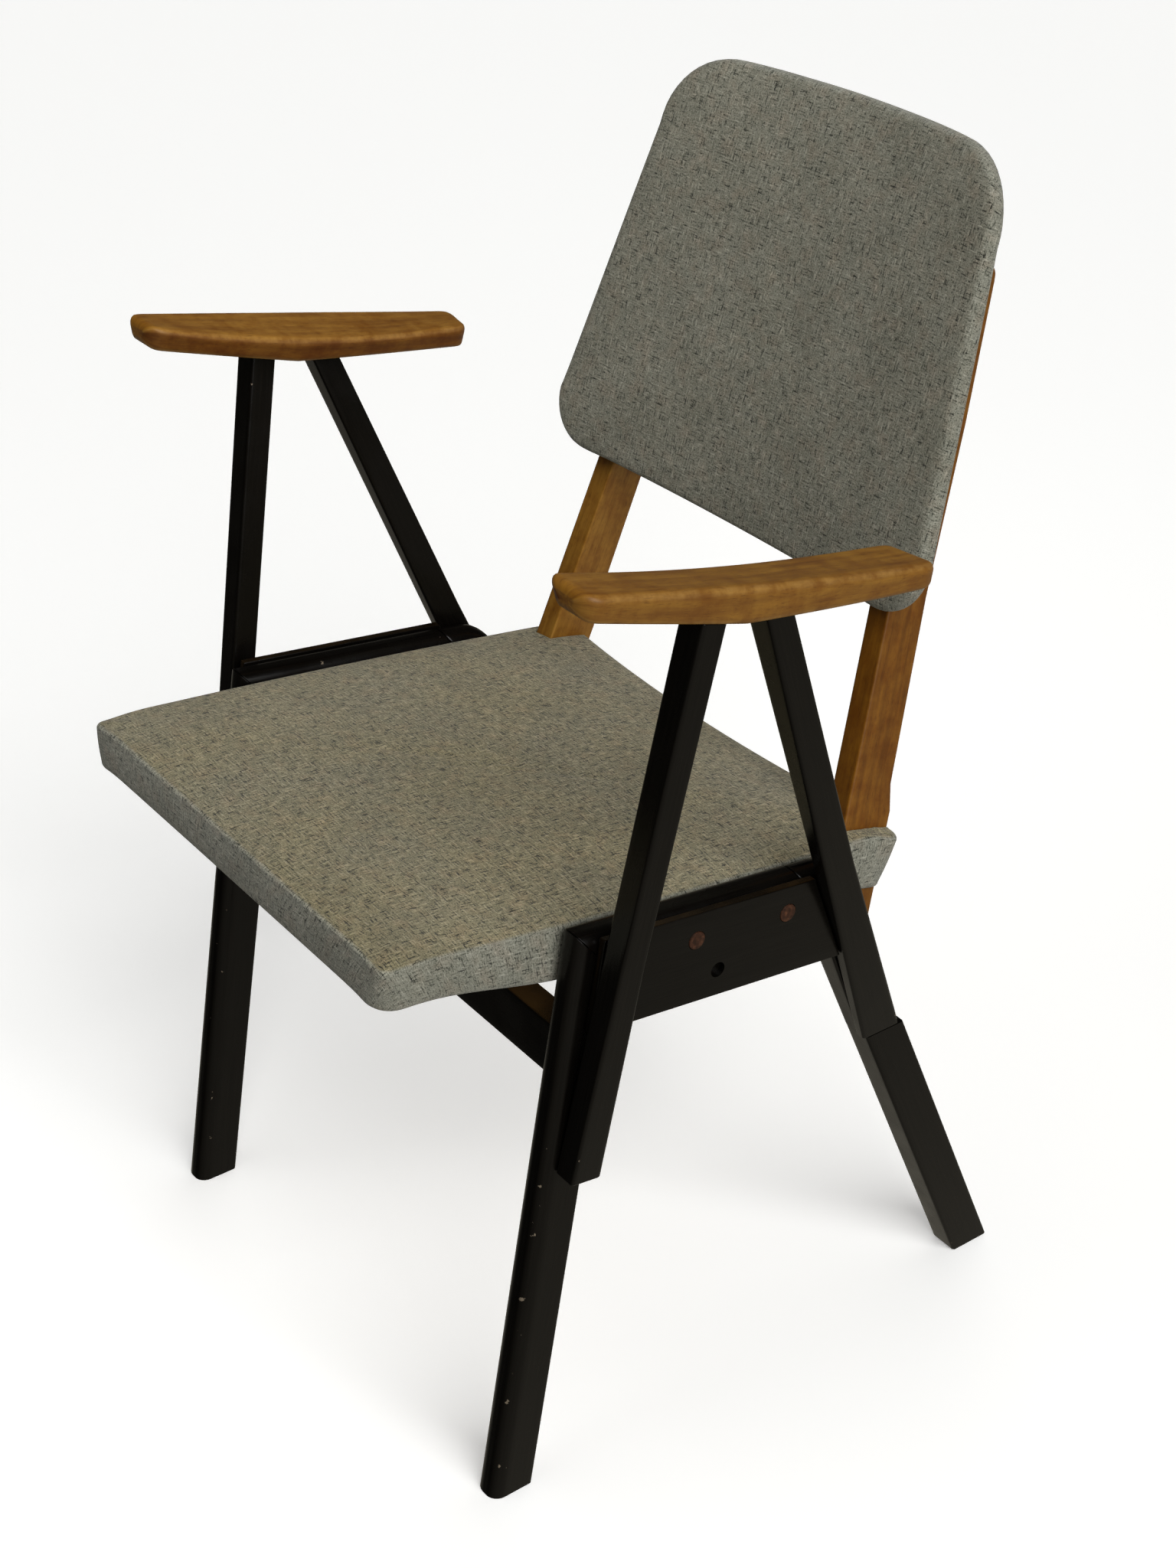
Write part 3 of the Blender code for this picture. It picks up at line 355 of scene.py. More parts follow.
def bar(name, stations, radii, caps, drop=None, foot=0.0, bare=(0, 0)):
    """Bar of rounded section through quads of corners.

    A section point at shares (a, b) of depth and thickness is the bilinear mix of a quad's corners, and runs
    straight from quad to quad. A cap (along, in_a, in_b) rounds an end: the ring at angle p lies
    along(1 - sin p) from the end, and its section is drawn in on each side by (in_a, in_b)(1 - cos p). The
    last end is lowered by drop(distance from the front). Kept on the face corners: grain, the place in the
    bar's own axes, and a value that is 1 on arrises in x, fades over foot metres from the first end in y, and
    is 1 in z on the face that looks towards the marked direction. The finishes colour that face brown (bare
    wood, with painted reflection on the panels) and, on the armrests, darker.
    """
    stations = np.array(stations, float)
    axis = stations[-1].mean(0) - stations[0].mean(0)
    axis /= np.linalg.norm(axis)
    middle = stations.mean(0)
    edges = [middle[1] - middle[0], middle[3] - middle[0]]
    size = np.array([np.linalg.norm(e - axis * (e @ axis)) for e in edges])
    points, normals, arris = section(*size, radii)
    rings, grain, wear_and_painted_light = [], [], []

    def mix(corners, at):
        a, b = (at / size).T[:, :, None]
        return ((1 - a) * (1 - b) * corners[0] + a * (1 - b) * corners[1]
                + a * b * corners[2] + (1 - a) * b * corners[3])

    def end(here, there, cap, turns, fall):
        for p in np.radians(turns):
            at = size / 2 + (points - size / 2) * (1 - 2 * np.array(cap[1:]) * (1 - math.cos(p)) / size)
            start, goal = mix(here, at), mix(there, at)
            way = (goal - start) / np.linalg.norm(goal - start, axis=1)[:, None]
            rings.append(start + way * (cap[0] * (1 - math.sin(p)) + fall(at[:, 0]))[:, None])
            grain.append(at)
            wear_and_painted_light.append(np.maximum(arris, math.sin(2 * p)))

    level = (90, 75, 60, 45, 30, 15, 0)
    end(stations[0], stations[1], caps[0], level, lambda a: 0 * a)
    for corners in stations[1:-1]:
        rings.append(mix(corners, points))
        grain.append(points)
        wear_and_painted_light.append(arris)
    end(stations[-1], stations[-2], caps[1], level[::-1], drop or (lambda a: 0 * a))
    rings = np.array(rings)
    along = (rings - stations[0].mean(0)) @ axis
    grain = np.dstack([np.array(grain) - size / 2, along])
    fade = np.clip(1 - along / foot, 0, 1) if foot else 0 * along
    wear_and_painted_light = np.dstack([np.array(wear_and_painted_light), fade, 0 * fade + np.clip(normals @ bare, 0, 1) ** 4])
    # Each bar is cut from a place of its own in the wood
    bar.made += 1
    return skin(name, rings, {"grain": grain + (0.31 * bar.made, 0.17 * bar.made, 0.0), "wear_and_painted_light": wear_and_painted_light})


bar.made = 0


def turned(name, profile, base, axis, steps=32):
    """Round piece: a profile of (distance along the axis, radius) turned about it."""
    axis = Vector(axis).normalized()
    across = axis.orthogonal().normalized()
    turn = np.linspace(0, 2 * math.pi, steps, endpoint=False)[None, :, None]
    along, radius = np.array(profile).T[:, :, None, None]
    spokes = np.cos(turn) * np.array(across) + np.sin(turn) * np.array(axis.cross(across))
    rings = np.array(base) + along * np.array(axis) + radius * spokes
    zero = np.zeros_like(rings)
    return skin(name, rings, {"grain": rings - np.array(base), "wear_and_painted_light": zero})


def bored(piece, *holes):
    """Cut round holes, each (base, axis, length, radius)."""
    cut(piece, [turned(piece.name + "_hole", [(0, radius), (length, radius)], base, axis, 40)
                for base, axis, length, radius in holes])


def cut(piece, cutters, crossing=False):
    """Take cutters away from a piece's own mesh; crossing says that the piece may pass through itself."""
    for cutter in cutters:
        boolean = piece.modifiers.new("cut", "BOOLEAN")
        boolean.solver = "EXACT"
        boolean.use_self = crossing
        boolean.object = cutter
    depsgraph = bpy.context.evaluated_depsgraph_get()
    mesh = bpy.data.meshes.new_from_object(piece.evaluated_get(depsgraph))
    piece.modifiers.clear()
    piece.data = mesh
    soften(piece)
    for cutter in cutters:
        bpy.data.objects.remove(cutter)


# Finishes

def heather_weave():
    """Plain-woven wool and rayon heather: mixed grey, olive and oat yarns with short dark slubs, matt and a
    little hairy, yellowed where it is sat on and rubbed pale at the rim."""
    material, tree, shader = new_material("heather_weave", {
        "Roughness": 0.92, "Specular IOR Level": 0.25, "Sheen Weight": 0.12})
    place = node(tree, "Attribute", attribute_name="cloth")["Vector"]
    worn_and_painted_light = node(tree, "SeparateXYZ", {0: node(tree, "Attribute", attribute_name="wear_and_painted_light")["Vector"]})
    # Pale and dark lengths of yarn, about 1.2 mm by 8 mm, along and across the cloth, drawn coarser than
    # the real threads, which are too fine to show; the cube leaves only the strongest
    yarns = []
    for offset, scale in ((0.0, (1 / 0.0080, 1 / 0.0012, 1)), (40.0, (1 / 0.0013, 1 / 0.0090, 1))):
        run = node(tree, "Mapping", {"Vector": place, "Location": (offset, offset, 0), "Scale": scale})[0]
        yarn = node(tree, "TexNoise", {"Vector": run, "Scale": 1.0, "Detail": 2.0, "Roughness": 0.6})[0]
        yarn = node(tree, "MapRange", {0: yarn, 1: 0.28, 2: 0.72, 3: -1.0, 4: 1.0}, clamp=False)[0]
        yarns.append(node(tree, "Math", {0: yarn, 1: 3.0}, operation="POWER")[0])
    both = node(tree, "Math", {0: yarns[0], 1: yarns[1]}, operation="ADD")[0]
    fuzz = node(tree, "TexNoise", {"Vector": place, "Scale": 1 / 0.0011, "Detail": 2.0, "Roughness": 0.7})[0]
    fuzz = node(tree, "MapRange", {0: fuzz, 1: 0.25, 2: 0.75, 3: 0.15, 4: 0.85})[0]
    # Sitting has raised the yarns of the seat's face
    raised = node(tree, "Math", {0: worn_and_painted_light["Z"], 1: 0.42, 2: 0.68}, operation="MULTIPLY_ADD")[0]
    tone = node(tree, "Math", {0: both, 1: raised, 2: fuzz}, operation="MULTIPLY_ADD")[0]
    colour = node(tree, "ValToRGB", {0: tone}, ramp=(
        (0.0, "#23231e"), (0.28, "#54554b"), (0.47, "#7d7c70"), (0.70, "#8e8d81"), (1.0, "#a6a497")))[0]
    # Cool and warm patches about 14 mm across, and broad lighter and darker ones
    for scale, ramp in ((0.014, ((0.36, "#f8fafa"), (0.52, "#fdfdfc"), (0.66, "#fff9f6"))),
                        (0.045, ((0.34, "#ececea"), (0.66, "#ffffff")))):
        patch = node(tree, "TexNoise", {"Vector": place, "Scale": 1 / scale, "Detail": 3.0})[0]
        tint = node(tree, "ValToRGB", {0: patch}, ramp=ramp)[0]
        colour = node(tree, "Mix", {0: 1.0, 6: colour, 7: tint}, data_type="RGBA", blend_type="MULTIPLY")[2]
    # Yellowing of the seat's face, in clouds about 90 mm across
    cloud = node(tree, "TexNoise", {"Vector": place, "Scale": 1 / 0.090, "Detail": 2.0})[0]
    cloud = node(tree, "MapRange", {0: cloud, 1: 0.30, 2: 0.62, 3: 0.70, 4: 1.0})[0]
    soil = node(tree, "Math", {0: cloud, 1: worn_and_painted_light["Z"]}, operation="MULTIPLY")[0]
    yellow = linear("#fff1cf")
    colour = node(tree, "Mix", {0: soil, 6: colour, 7: yellow}, data_type="RGBA", blend_type="MULTIPLY")[2]
    # Rubbed rim, where the light ground yarns show
    rub = node(tree, "Math", {0: worn_and_painted_light["X"], 1: tone}, operation="MULTIPLY")[0]
    rub = node(tree, "MapRange", {0: rub, 1: 0.35, 2: 0.75, 4: 0.5})[0]
    colour = node(tree, "Mix", {0: rub, 6: colour, 7: linear("#a9a693")}, data_type="RGBA")[2]
    tree.links.new(colour, shader.inputs["Base Color"])
    bump = node(tree, "Bump", {"Height": tone, "Strength": 0.8, "Distance": 0.5 * MM})[0]
    tree.links.new(bump, shader.inputs["Normal"])
    return material


def black_lacquer():
    """Brushed black nitro lacquer on beech: nearly black, semi-gloss, a trace of grain, chipped to
    pale wood on arrises."""
    material, tree, shader = new_material("black_lacquer", {"Specular IOR Level": 0.24})
    place = node(tree, "Attribute", attribute_name="grain")["Vector"]
    worn_and_painted_light = node(tree, "SeparateXYZ", {0: node(tree, "Attribute", attribute_name="wear_and_painted_light")["Vector"]})
    # Brush marks and grain under the film: 1.1 mm wide, 45 mm long
    run = node(tree, "Mapping", {"Vector": place, "Scale": (1 / 0.0011, 1 / 0.0011, 1 / 0.045)})[0]
    streak = node(tree, "TexNoise", {"Vector": run, "Scale": 1.0, "Detail": 3.0})[0]
    colour = node(tree, "ValToRGB", {0: streak}, ramp=((0.35, "#040302"), (0.70, "#090705")))[0]
    # Chips about 4 mm across, only on arrises, more of them at the feet
    chip = node(tree, "TexNoise", {"Vector": place, "Scale": 1 / 0.0075, "Detail": 4.0, "Roughness": 0.55})[0]
    reach = node(tree, "Math", {0: worn_and_painted_light["Y"], 1: 0.09}, operation="MULTIPLY")[0]
    chip = node(tree, "Math", {0: chip, 1: reach}, operation="ADD")[0]
    chip = node(tree, "MapRange", {0: chip, 1: 0.742, 2: 0.756})[0]
    edge = node(tree, "MapRange", {0: worn_and_painted_light["X"], 1: 0.45, 2: 0.75})[0]
    chip = node(tree, "Math", {0: chip, 1: edge}, operation="MULTIPLY")[0]
    colour = node(tree, "Mix", {0: chip, 6: colour, 7: linear("#6b6051")}, data_type="RGBA")[2]
    # The marked face is brown stained wood: bare on the stretchers' tops, and on the panels' top edges bare
    # wood that also stands in for a painted warm reflection under the rail's bead. The brush's overrun of
    # lacquer breaks it in 30 mm stretches
    overrun = node(tree, "TexNoise", {"Vector": place, "Scale": 1 / 0.030, "Detail": 3.0})[0]
    overrun = node(tree, "MapRange", {0: overrun, 1: 0.40, 2: 0.60, 3: 0.25, 4: 0.85})[0]
    bare = node(tree, "Math", {0: worn_and_painted_light["Z"], 1: overrun}, operation="MULTIPLY")[0]
    colour = node(tree, "Mix", {0: bare, 6: colour, 7: linear("#36260f")}, data_type="RGBA")[2]
    tree.links.new(colour, shader.inputs["Base Color"])
    # Handling marks about 25 mm across dull the film
    marks = node(tree, "TexNoise", {"Vector": place, "Scale": 1 / 0.025, "Detail": 3.0})[0]
    gloss = node(tree, "MapRange", {0: marks, 1: 0.3, 2: 0.7, 3: 0.20, 4: 0.32})[0]
    rough = node(tree, "Mix", {0: chip, 2: gloss, 3: 0.8})[0]
    tree.links.new(rough, shader.inputs["Roughness"])
    film = node(tree, "Math", {0: streak, 1: chip}, operation="SUBTRACT")[0]
    bump = node(tree, "Bump", {"Height": film, "Strength": 0.12, "Distance": 0.4 * MM})[0]
    tree.links.new(bump, shader.inputs["Normal"])
    return material


def honey_beech(name, dark, light, arris):
    """Beech under honey-brown stain and satin varnish: soft long figure, short dark ray flecks,
    arrises worn paler in stretches, and the sides that face the sitter darker."""
    material, tree, shader = new_material(name, {"Specular IOR Level": 0.28})
    place = node(tree, "Attribute", attribute_name="grain")["Vector"]
    worn_and_painted_light = node(tree, "SeparateXYZ", {0: node(tree, "Attribute", attribute_name="wear_and_painted_light")["Vector"]})
    # Growth rings 5 mm wide that run 60 mm along the grain
    run = node(tree, "Mapping", {"Vector": place, "Scale": (1 / 0.005, 1 / 0.005, 1 / 0.060)})[0]
    figure = node(tree, "TexNoise", {
        "Vector": run, "Scale": 1.0, "Detail": 5.0, "Roughness": 0.6, "Distortion": 0.3})[0]
    colour = node(tree, "ValToRGB", {0: figure}, ramp=((0.32, dark), (0.68, light)))[0]
    # Ray flecks, 0.8 mm by 6 mm
    run = node(tree, "Mapping", {"Vector": place, "Scale": (1 / 0.0008, 1 / 0.0008, 1 / 0.006)})[0]
    pores = node(tree, "TexNoise", {"Vector": run, "Scale": 1.0, "Detail": 2.0})[0]
    pore = node(tree, "MapRange", {0: pores, 1: 0.56, 2: 0.74, 4: 0.5})[0]
    colour = node(tree, "Mix", {0: pore, 6: colour, 7: linear("#4a2a0c")}, data_type="RGBA")[2]
    # Stain lies unevenly, in ragged mottles about 18 mm across
    cloud = node(tree, "TexNoise", {"Vector": place, "Scale": 1 / 0.018, "Detail": 6.0, "Roughness": 0.68})[0]
    tint = node(tree, "ValToRGB", {0: cloud}, ramp=((0.36, "#dfcfbe"), (0.60, "#ffffff")))[0]
    colour = node(tree, "Mix", {0: 1.0, 6: colour, 7: tint}, data_type="RGBA", blend_type="MULTIPLY")[2]
    # Arrises are worn paler in stretches
    edge = node(tree, "MapRange", {0: worn_and_painted_light["X"], 1: 0.55, 2: 1.0})[0]
    patchy = node(tree, "MapRange", {0: cloud, 1: 0.42, 2: 0.60, 3: 0.10, 4: 0.45})[0]
    edge = node(tree, "Math", {0: edge, 1: patchy}, operation="MULTIPLY")[0]
    colour = node(tree, "Mix", {0: edge, 6: colour, 7: linear(arris)}, data_type="RGBA")[2]
    # The sides of the armrests that face the sitter are made darker, in mottles
    sitter_side_darkening = node(tree, "MapRange", {0: cloud, 1: 0.30, 2: 0.60, 3: 1.0, 4: 0.7})[0]
    sitter_side_darkening = node(tree, "Math", {0: sitter_side_darkening, 1: worn_and_painted_light["Z"]}, operation="MULTIPLY")[0]
    brown = linear("#c0a37e")
    colour = node(tree, "Mix", {0: sitter_side_darkening, 6: colour, 7: brown}, data_type="RGBA", blend_type="MULTIPLY")[2]
    tree.links.new(colour, shader.inputs["Base Color"])
    gloss = node(tree, "MapRange", {0: cloud, 1: 0.3, 2: 0.7, 3: 0.42, 4: 0.56})[0]
    tree.links.new(gloss, shader.inputs["Roughness"])
    bump = node(tree, "Bump", {"Height": pore, "Strength": 0.15, "Distance": 0.2 * MM})[0]
    tree.links.new(bump, shader.inputs["Normal"])
    return material


def birch_plywood():
    """Rotary-cut birch veneer: pale, broad wandering figure, dull where it was never varnished."""
    material, tree, shader = new_material("birch_plywood", {"Roughness": 0.6})
    place = node(tree, "TexCoord")["Object"]
    # Figure 20 mm wide across the board and 150 mm long
    run = node(tree, "Mapping", {"Vector": place, "Scale": (1 / 0.020, 1 / 0.150, 1 / 0.150)})[0]
    figure = node(tree, "TexNoise", {"Vector": run, "Scale": 1.0, "Detail": 5.0, "Distortion": 1.2})[0]
    colour = node(tree, "ValToRGB", {0: figure}, ramp=(
        (0.35, "#a98256"), (0.50, "#c19a69"), (0.68, "#cdaa7c")))[0]
    tree.links.new(colour, shader.inputs["Base Color"])
    bump = node(tree, "Bump", {"Height": figure, "Strength": 0.1, "Distance": 0.3 * MM})[0]
    tree.links.new(bump, shader.inputs["Normal"])
    return material


def brown_bolt():
    """Copper-brown lacquered steel bolt heads, rubbed brighter in spots."""
    material, tree, shader = new_material("brown_lacquered_steel", {"Specular IOR Level": 0.18})
    place = node(tree, "TexCoord")["Object"]
    spots = node(tree, "TexNoise", {"Vector": place, "Scale": 1 / 0.003, "Detail": 3.0})[0]
    colour = node(tree, "ValToRGB", {0: spots}, ramp=(
        (0.35, "#25150c"), (0.60, "#3a2216"), (0.75, "#543422")))[0]
    tree.links.new(colour, shader.inputs["Base Color"])
    rough = node(tree, "MapRange", {0: spots, 3: 0.55, 4: 0.35})[0]
    tree.links.new(rough, shader.inputs["Roughness"])
    return material


def plain_steel():
    """Bright zinc-plated steel of the hidden screws, slightly dulled."""
    material, tree, shader = new_material("zinc_plated_steel", {
        "Base Color": linear("#b9b9b6"), "Metallic": 1.0})
    place = node(tree, "TexCoord")["Object"]
    dull = node(tree, "TexNoise", {"Vector": place, "Scale": 1 / 0.002, "Detail": 2.0})[0]
    rough = node(tree, "MapRange", {0: dull, 3: 0.25, 4: 0.5})[0]
    tree.links.new(rough, shader.inputs["Roughness"])
    return material


WEAVE = heather_weave()
LACQUER = black_lacquer()
ARM_BEECH = honey_beech("honey_beech_arms", "#6c4615", "#88601f", "#a07a3f")
# The back posts share one beech in two copies: darker on the left post as painted shade, lighter on the right
# post as painted light
POST_BEECH = {1: honey_beech("honey_beech_left_post_painted_shade", "#5e3908", "#774c0f", "#7f561b"),
              -1: honey_beech("honey_beech_right_post_painted_light", "#80561b", "#996e2a", "#a07635")}
PLYWOOD = birch_plywood()
BOLT = brown_bolt()
STEEL = plain_steel()


# Trestle sides

def face(x):
    """Face at a constant x."""
    return lambda z: x


def rounded_top(radius, depth):
    """How far a top is lowered at a distance from the front, for a rounded rear corner."""
    return lambda a: radius - np.sqrt(np.maximum(radius ** 2 - np.maximum(a - depth + radius, 0) ** 2, 0))


def lacquered(name, *shape, **more):
    """Bar under black lacquer, in place of the node of that name."""
    dress(bar(name + "_lacquered", *shape, **more), LACQUER, "black_lacquer", name)


def build_trestle(side, tag):
    """Front leg, rail, rear leg and panel of one side."""
    inner, outer = face(FRAME_IN), face(FRAME_OUT)
    nose, crook = meet(front_leg_front, rail_top), meet(front_leg_rear, rail_bottom)
    high, low = meet(rear_leg_front, rail_top), meet(rear_leg_front, rail_bottom)
    bull = BULLNOSE, 2 * MM, 2 * MM, BULLNOSE
    small = (2 * MM,) * 4

    lacquered(tag + "_front_leg",
              [quad(side, (front_leg_front(0), 0), (front_leg_rear(0), 0), inner, outer),
               quad(side, nose, crook, inner, outer)], bull, eased(0.7), foot=0.05)

    def rail_end(above, below, shift):
        top, bottom = above[0] + shift, below[0] + shift
        return quad(side, (top, rail_top(top)), (bottom, rail_bottom(bottom)), inner, outer)

    ends = rail_end(nose, crook, JOINT_GAP), rail_end(high, low, -JOINT_GAP)
    lacquered(tag + "_side_rail", ends, bull, eased(0.5))

    # The rear leg's outer face steps in behind the arm post's foot and runs out again above it
    def level(z, outside):
        return quad(side, (rear_leg_front(z), z), (rear_leg_rear(z), z), inner, outside)

    def housed(z):
        return min(FRAME_OUT, rear_post_in(z) - GAP)

    run_out = REAR_FOOT_Z + 0.105
    stations = [level(0, outer), level(REAR_FOOT_Z - GAP, outer), level(REAR_FOOT_Z, housed),
                level(run_out, housed), quad(side, high, meet(rear_leg_rear, rail_top), inner, outer)]
    rolled = (2.6 * MM,) * 3, (11 * MM, 0.4 * MM, BULLNOSE)
    lacquered(tag + "_rear_leg", stations, small, rolled, rounded_top(0.014, LEG_D), foot=0.05)

    front_end, rear_end = beside(front_leg_rear, -0.018), beside(rear_post_front, -2 * GAP)
    # The panel's top edge is marked brown: bare wood, and a painted warm reflection under the rail's bead
    panel = bar(tag + "_rail_panel_lacquered",
                [quad(side, meet(end, panel_top), meet(end, panel_bottom), face(PANEL_IN), face(PANEL_OUT))
                 for end in (front_end, rear_end)], (1 * MM,) * 4, eased(0.9), bare=(-0.8, 0))
    # A blind spare hole in the middle, and a sinking round each bolt head
    bolts = bolt_places(side)
    out, through = (side, 0, 0), 20 * MM
    spare = (side * (PANEL_OUT - 4.5 * MM), SHIFT_Y, rail_top(0) - 0.049)
    bored(panel, (spare, out, through, 5.5 * MM), *((place, out, through, 6.7 * MM) for place in bolts))
    dress(panel, LACQUER, "black_lacquer", tag + "_rail_panel")
    for end, place in zip(("front", "rear"), bolts):
        bolt = turned(f"{tag}_seat_bolt_{end}_head", np.array(BOLT_HEAD) * MM, place, out)
        dress(bolt, BOLT, "brown_bolt_head", f"{tag}_seat_bolt_{end}")


# Shank and low dome of a seat bolt: distance out from the sinking and radius, in mm
BOLT_HEAD = ((-15, 3), (0.05, 3), (0.05, 6.2), (0.5, 6.4), (1.9, 6.4), (2.3, 6.1), (2.5, 5.2), (2.6, 2.5))
BOLT_AHEAD, BOLT_PITCH, BOLT_SUNK = 0.0273, 0.076, 0.0018


def bolt_places(side):
    """Undersides of the two bolt heads in the panel: on the seat board's line, ahead of the rear leg."""
    rear = meet(rear_leg_front, rail_bottom)[0] - BOLT_AHEAD
    places = []
    for v in (rear - BOLT_PITCH, rear):
        at = seat_place(np.array(0.0), np.array(v), np.array(4 * MM - SEAT_BOARD_T / 2))
        places.append((side * (PANEL_OUT - BOLT_SUNK), at[1], at[2]))
    return places


# Both arm posts are a little deeper at the foot than at the seat
FOOT_DEEPER, FOOT_RUN_OUT = 0.0048, 0.425
# Armrest: widths, radii of its ends in plan and in side view, and how far its top lies above the solid's
ARM_W_MIDDLE, ARM_W_END = 0.0520, 0.0415
ARM_END_PLAN, ARM_END_SIDE = 0.0125, 0.0072
ARM_INNER_LIFT, ARM_INNER_DIP, ARM_OUTER_LIFT = 0.0030, 0.0085, 0.0018
ARM_INNER_UNDER, ARM_OUTER_UNDER, ARM_SKEW = 0.0060, 0.0025, 0.004


def build_arm(side, tag):
    """Two posts in an inverted V and the armrest that they carry."""
    slant = FRONT_POST_D * math.sin(math.radians(FRONT_POST_RAKE))
    for name, front, rear, inner, outer, foot, low, under in (
            ("front", front_post_front, front_post_rear, front_post_in, front_post_out,
             FRONT_FOOT_Z, FRONT_FOOT_Z - slant, arm_bottom_front),
            ("rear", rear_post_front, rear_post_rear, rear_post_in, rear_post_out,
             REAR_FOOT_Z, REAR_FOOT_Z, arm_bottom_rear)):
        def seat(y):
            return under(y) - 1.5 * GAP
        even = [(edge(FOOT_RUN_OUT), FOOT_RUN_OUT) for edge in (front, rear)]
        stations = [quad(side, (front(foot), foot), (rear(low) + FOOT_DEEPER, low), inner, outer),
                    quad(side, *even, inner, outer),
                    quad(side, meet(front, seat), meet(rear, seat), inner, outer)]
        lacquered(f"{tag}_{name}_arm_post", stations, (2.2 * MM,) * 4, eased(1.2), foot=0.03)

    # Sides bowed out and drawn in below, inner top edge dipped at mid-length, ends rounded, and an underside
    # that is a V with its line at the apex
    s = np.sin(np.linspace(-math.pi / 2, math.pi / 2, 71))
    y = blend((ARM_FRONT_Y + ARM_REAR_Y) / 2, ARM_REAR_Y, s)
    to_end = (1 - np.abs(s)) * (ARM_REAR_Y - ARM_FRONT_Y) / 2
    plan, rise = (r - np.sqrt(r * r - np.maximum(r - to_end, 0) ** 2) for r in (ARM_END_PLAN, ARM_END_SIDE))
    half = blend(ARM_W_MIDDLE, ARM_W_END, s * s) / 2 - plan
    under = np.maximum(arm_bottom_front(y), arm_bottom_rear(y)) + rise
    inner_top = arm_top(y) + ARM_INNER_LIFT - ARM_INNER_DIP * (1 - s * s) - rise
    outer_top = arm_top(y) + ARM_OUTER_LIFT - rise
    skew = ARM_SKEW * np.maximum(s, 0) ** 4
    corners = [(ARM_INNER_UNDER - half, -skew, under), (-half, -skew, inner_top), (half, skew, outer_top),
               (half - ARM_OUTER_UNDER, skew, under)]
    stations = np.stack([np.stack([side * (ARM_MID_X + x), y + turn + SHIFT_Y, z], -1)
                         for x, turn, z in corners], 1)
    radii = 4.0 * MM, 5.4 * MM, 5.4 * MM, 4.0 * MM
    # The side that faces the sitter is the marked face, which the finish makes darker
    arm = bar(tag + "_armrest_beech", stations[1:-1], radii, eased(0.05), bare=(0, -1))
    dress(arm, ARM_BEECH, "honey_beech", tag + "_armrest")


def build_back_post(side, tag):
    """Post through the seat's notch: even below the seat, a knee at the seat, slimmer behind the back."""
    def station(z, depth):
        return quad(side, (post_front(z), z), (post_front(z) + depth, z), post_in, post_out)

    # Behind the back the post keeps more depth than its solid does
    stations = [station(STRETCHER_Z - STRETCHER_H / 2, POST_D_LOW),
                station(RAIL_TOP_Z - SEAT_BOARD_T, POST_D_LOW), station(RAIL_TOP_Z, POST_D_KNEE),
                station(0.55, 0.0343), station(0.66, 0.0374), station(POST_TOP_Z, 0.0363)]
    post = bar(tag + "_back_post_beech", stations, (1.8 * MM,) * 4, eased(1.8), rounded_top(0.012, 0.036))
    # Sinkings for the stretcher's bolt and the back's screws, cut from 6.2 mm inside the solid's rear
    bolt, screw = 6.7 * MM, 4.3 * MM
    holes = []
    for z, radius in ((STRETCHER_Z, bolt), (BACK_FOOT_Z + 0.050, screw), (BACK_FOOT_Z + 0.160, screw)):
        up = (z - RAIL_TOP_Z) / (POST_TOP_Z - RAIL_TOP_Z)
        depth = POST_D_LOW if up < 0 else blend(POST_D_KNEE, POST_D_TOP, up)
        at = np.array([side * (post_in(z) + post_out(z)) / 2, post_front(z) + SHIFT_Y, z])
        seat = at - POST_NORMAL * (depth * POST_UP[2] - 6.2 * MM)
        holes.append((seat, -POST_NORMAL, 0.03, radius))
    bored(post, *holes)
    # Each post takes its own copy of the beech: the darker one is painted shade, the lighter one painted
    # light
    dress(post, POST_BEECH[side], "honey_beech", tag + "_back_post")


def build_stretchers():
    """Front stretcher upright between the front legs, rear one flat against the back posts."""
    end, z = FRAME_IN - GAP, STRETCHER_Z
    front_mid = np.array([0.0, (front_leg_front(z) + front_leg_rear(z)) / 2 + 0.003 + SHIFT_Y, z])
    rear_mid = np.array([0.0, post_front(z) + SHIFT_Y, z]) + POST_NORMAL * (GAP + STRETCHER_T / 2)
    corners = (-1, -1), (1, -1), (1, 1), (-1, 1)
    for name, middle, back, up in (
            ("front", front_mid, np.array([0.0, 1.0, 0.0]), np.array([0.0, 0.0, 1.0])),
            ("rear", rear_mid, -POST_NORMAL, POST_UP)):
        depth, height = back * (STRETCHER_T / 2), up * (STRETCHER_H / 2)
        quads = [[middle + (x, 0, 0) + a * depth + b * height for a, b in corners] for x in (-end, end)]
        lacquered(name + "_stretcher", quads, (1.6 * MM,) * 4, eased(0.3), bare=(0, 1))


# Padded seat and back

def pad_outline(low, high, half_at, low_corner, high_corner, dip):
    """Outline from low to high: sides at half_at(v), quarter circles at the corners, and the end at high
    hollowed by a parabola of depth dip."""
    low_half, high_half = half_at(low + low_corner) - low_corner, half_at(high - high_corner) - high_corner
    turn = np.linspace(0, math.pi / 2, 13)
    across = np.linspace(-1, 1, 46)[1:-1]
    up = np.linspace(low + low_corner, high - high_corner, 50)[1:-1]

    def arc(x, v, radius, start):
        return np.stack([x + radius * np.cos(start + turn), v + radius * np.sin(start + turn)], -1)

    return np.vstack([
        np.stack([across * low_half, np.full_like(across, low)], -1),
        arc(low_half, low + low_corner, low_corner, -math.pi / 2),
        np.stack([half_at(up), up], -1),
        arc(high_half, high - high_corner, high_corner, 0),
        np.stack([-across * high_half, high - dip * (1 - across ** 2)], -1),
        arc(-high_half, high - high_corner, high_corner, math.pi / 2),
        np.stack([-half_at(up[::-1]), up[::-1]], -1),
        arc(-low_half, low + low_corner, low_corner, math.pi)])


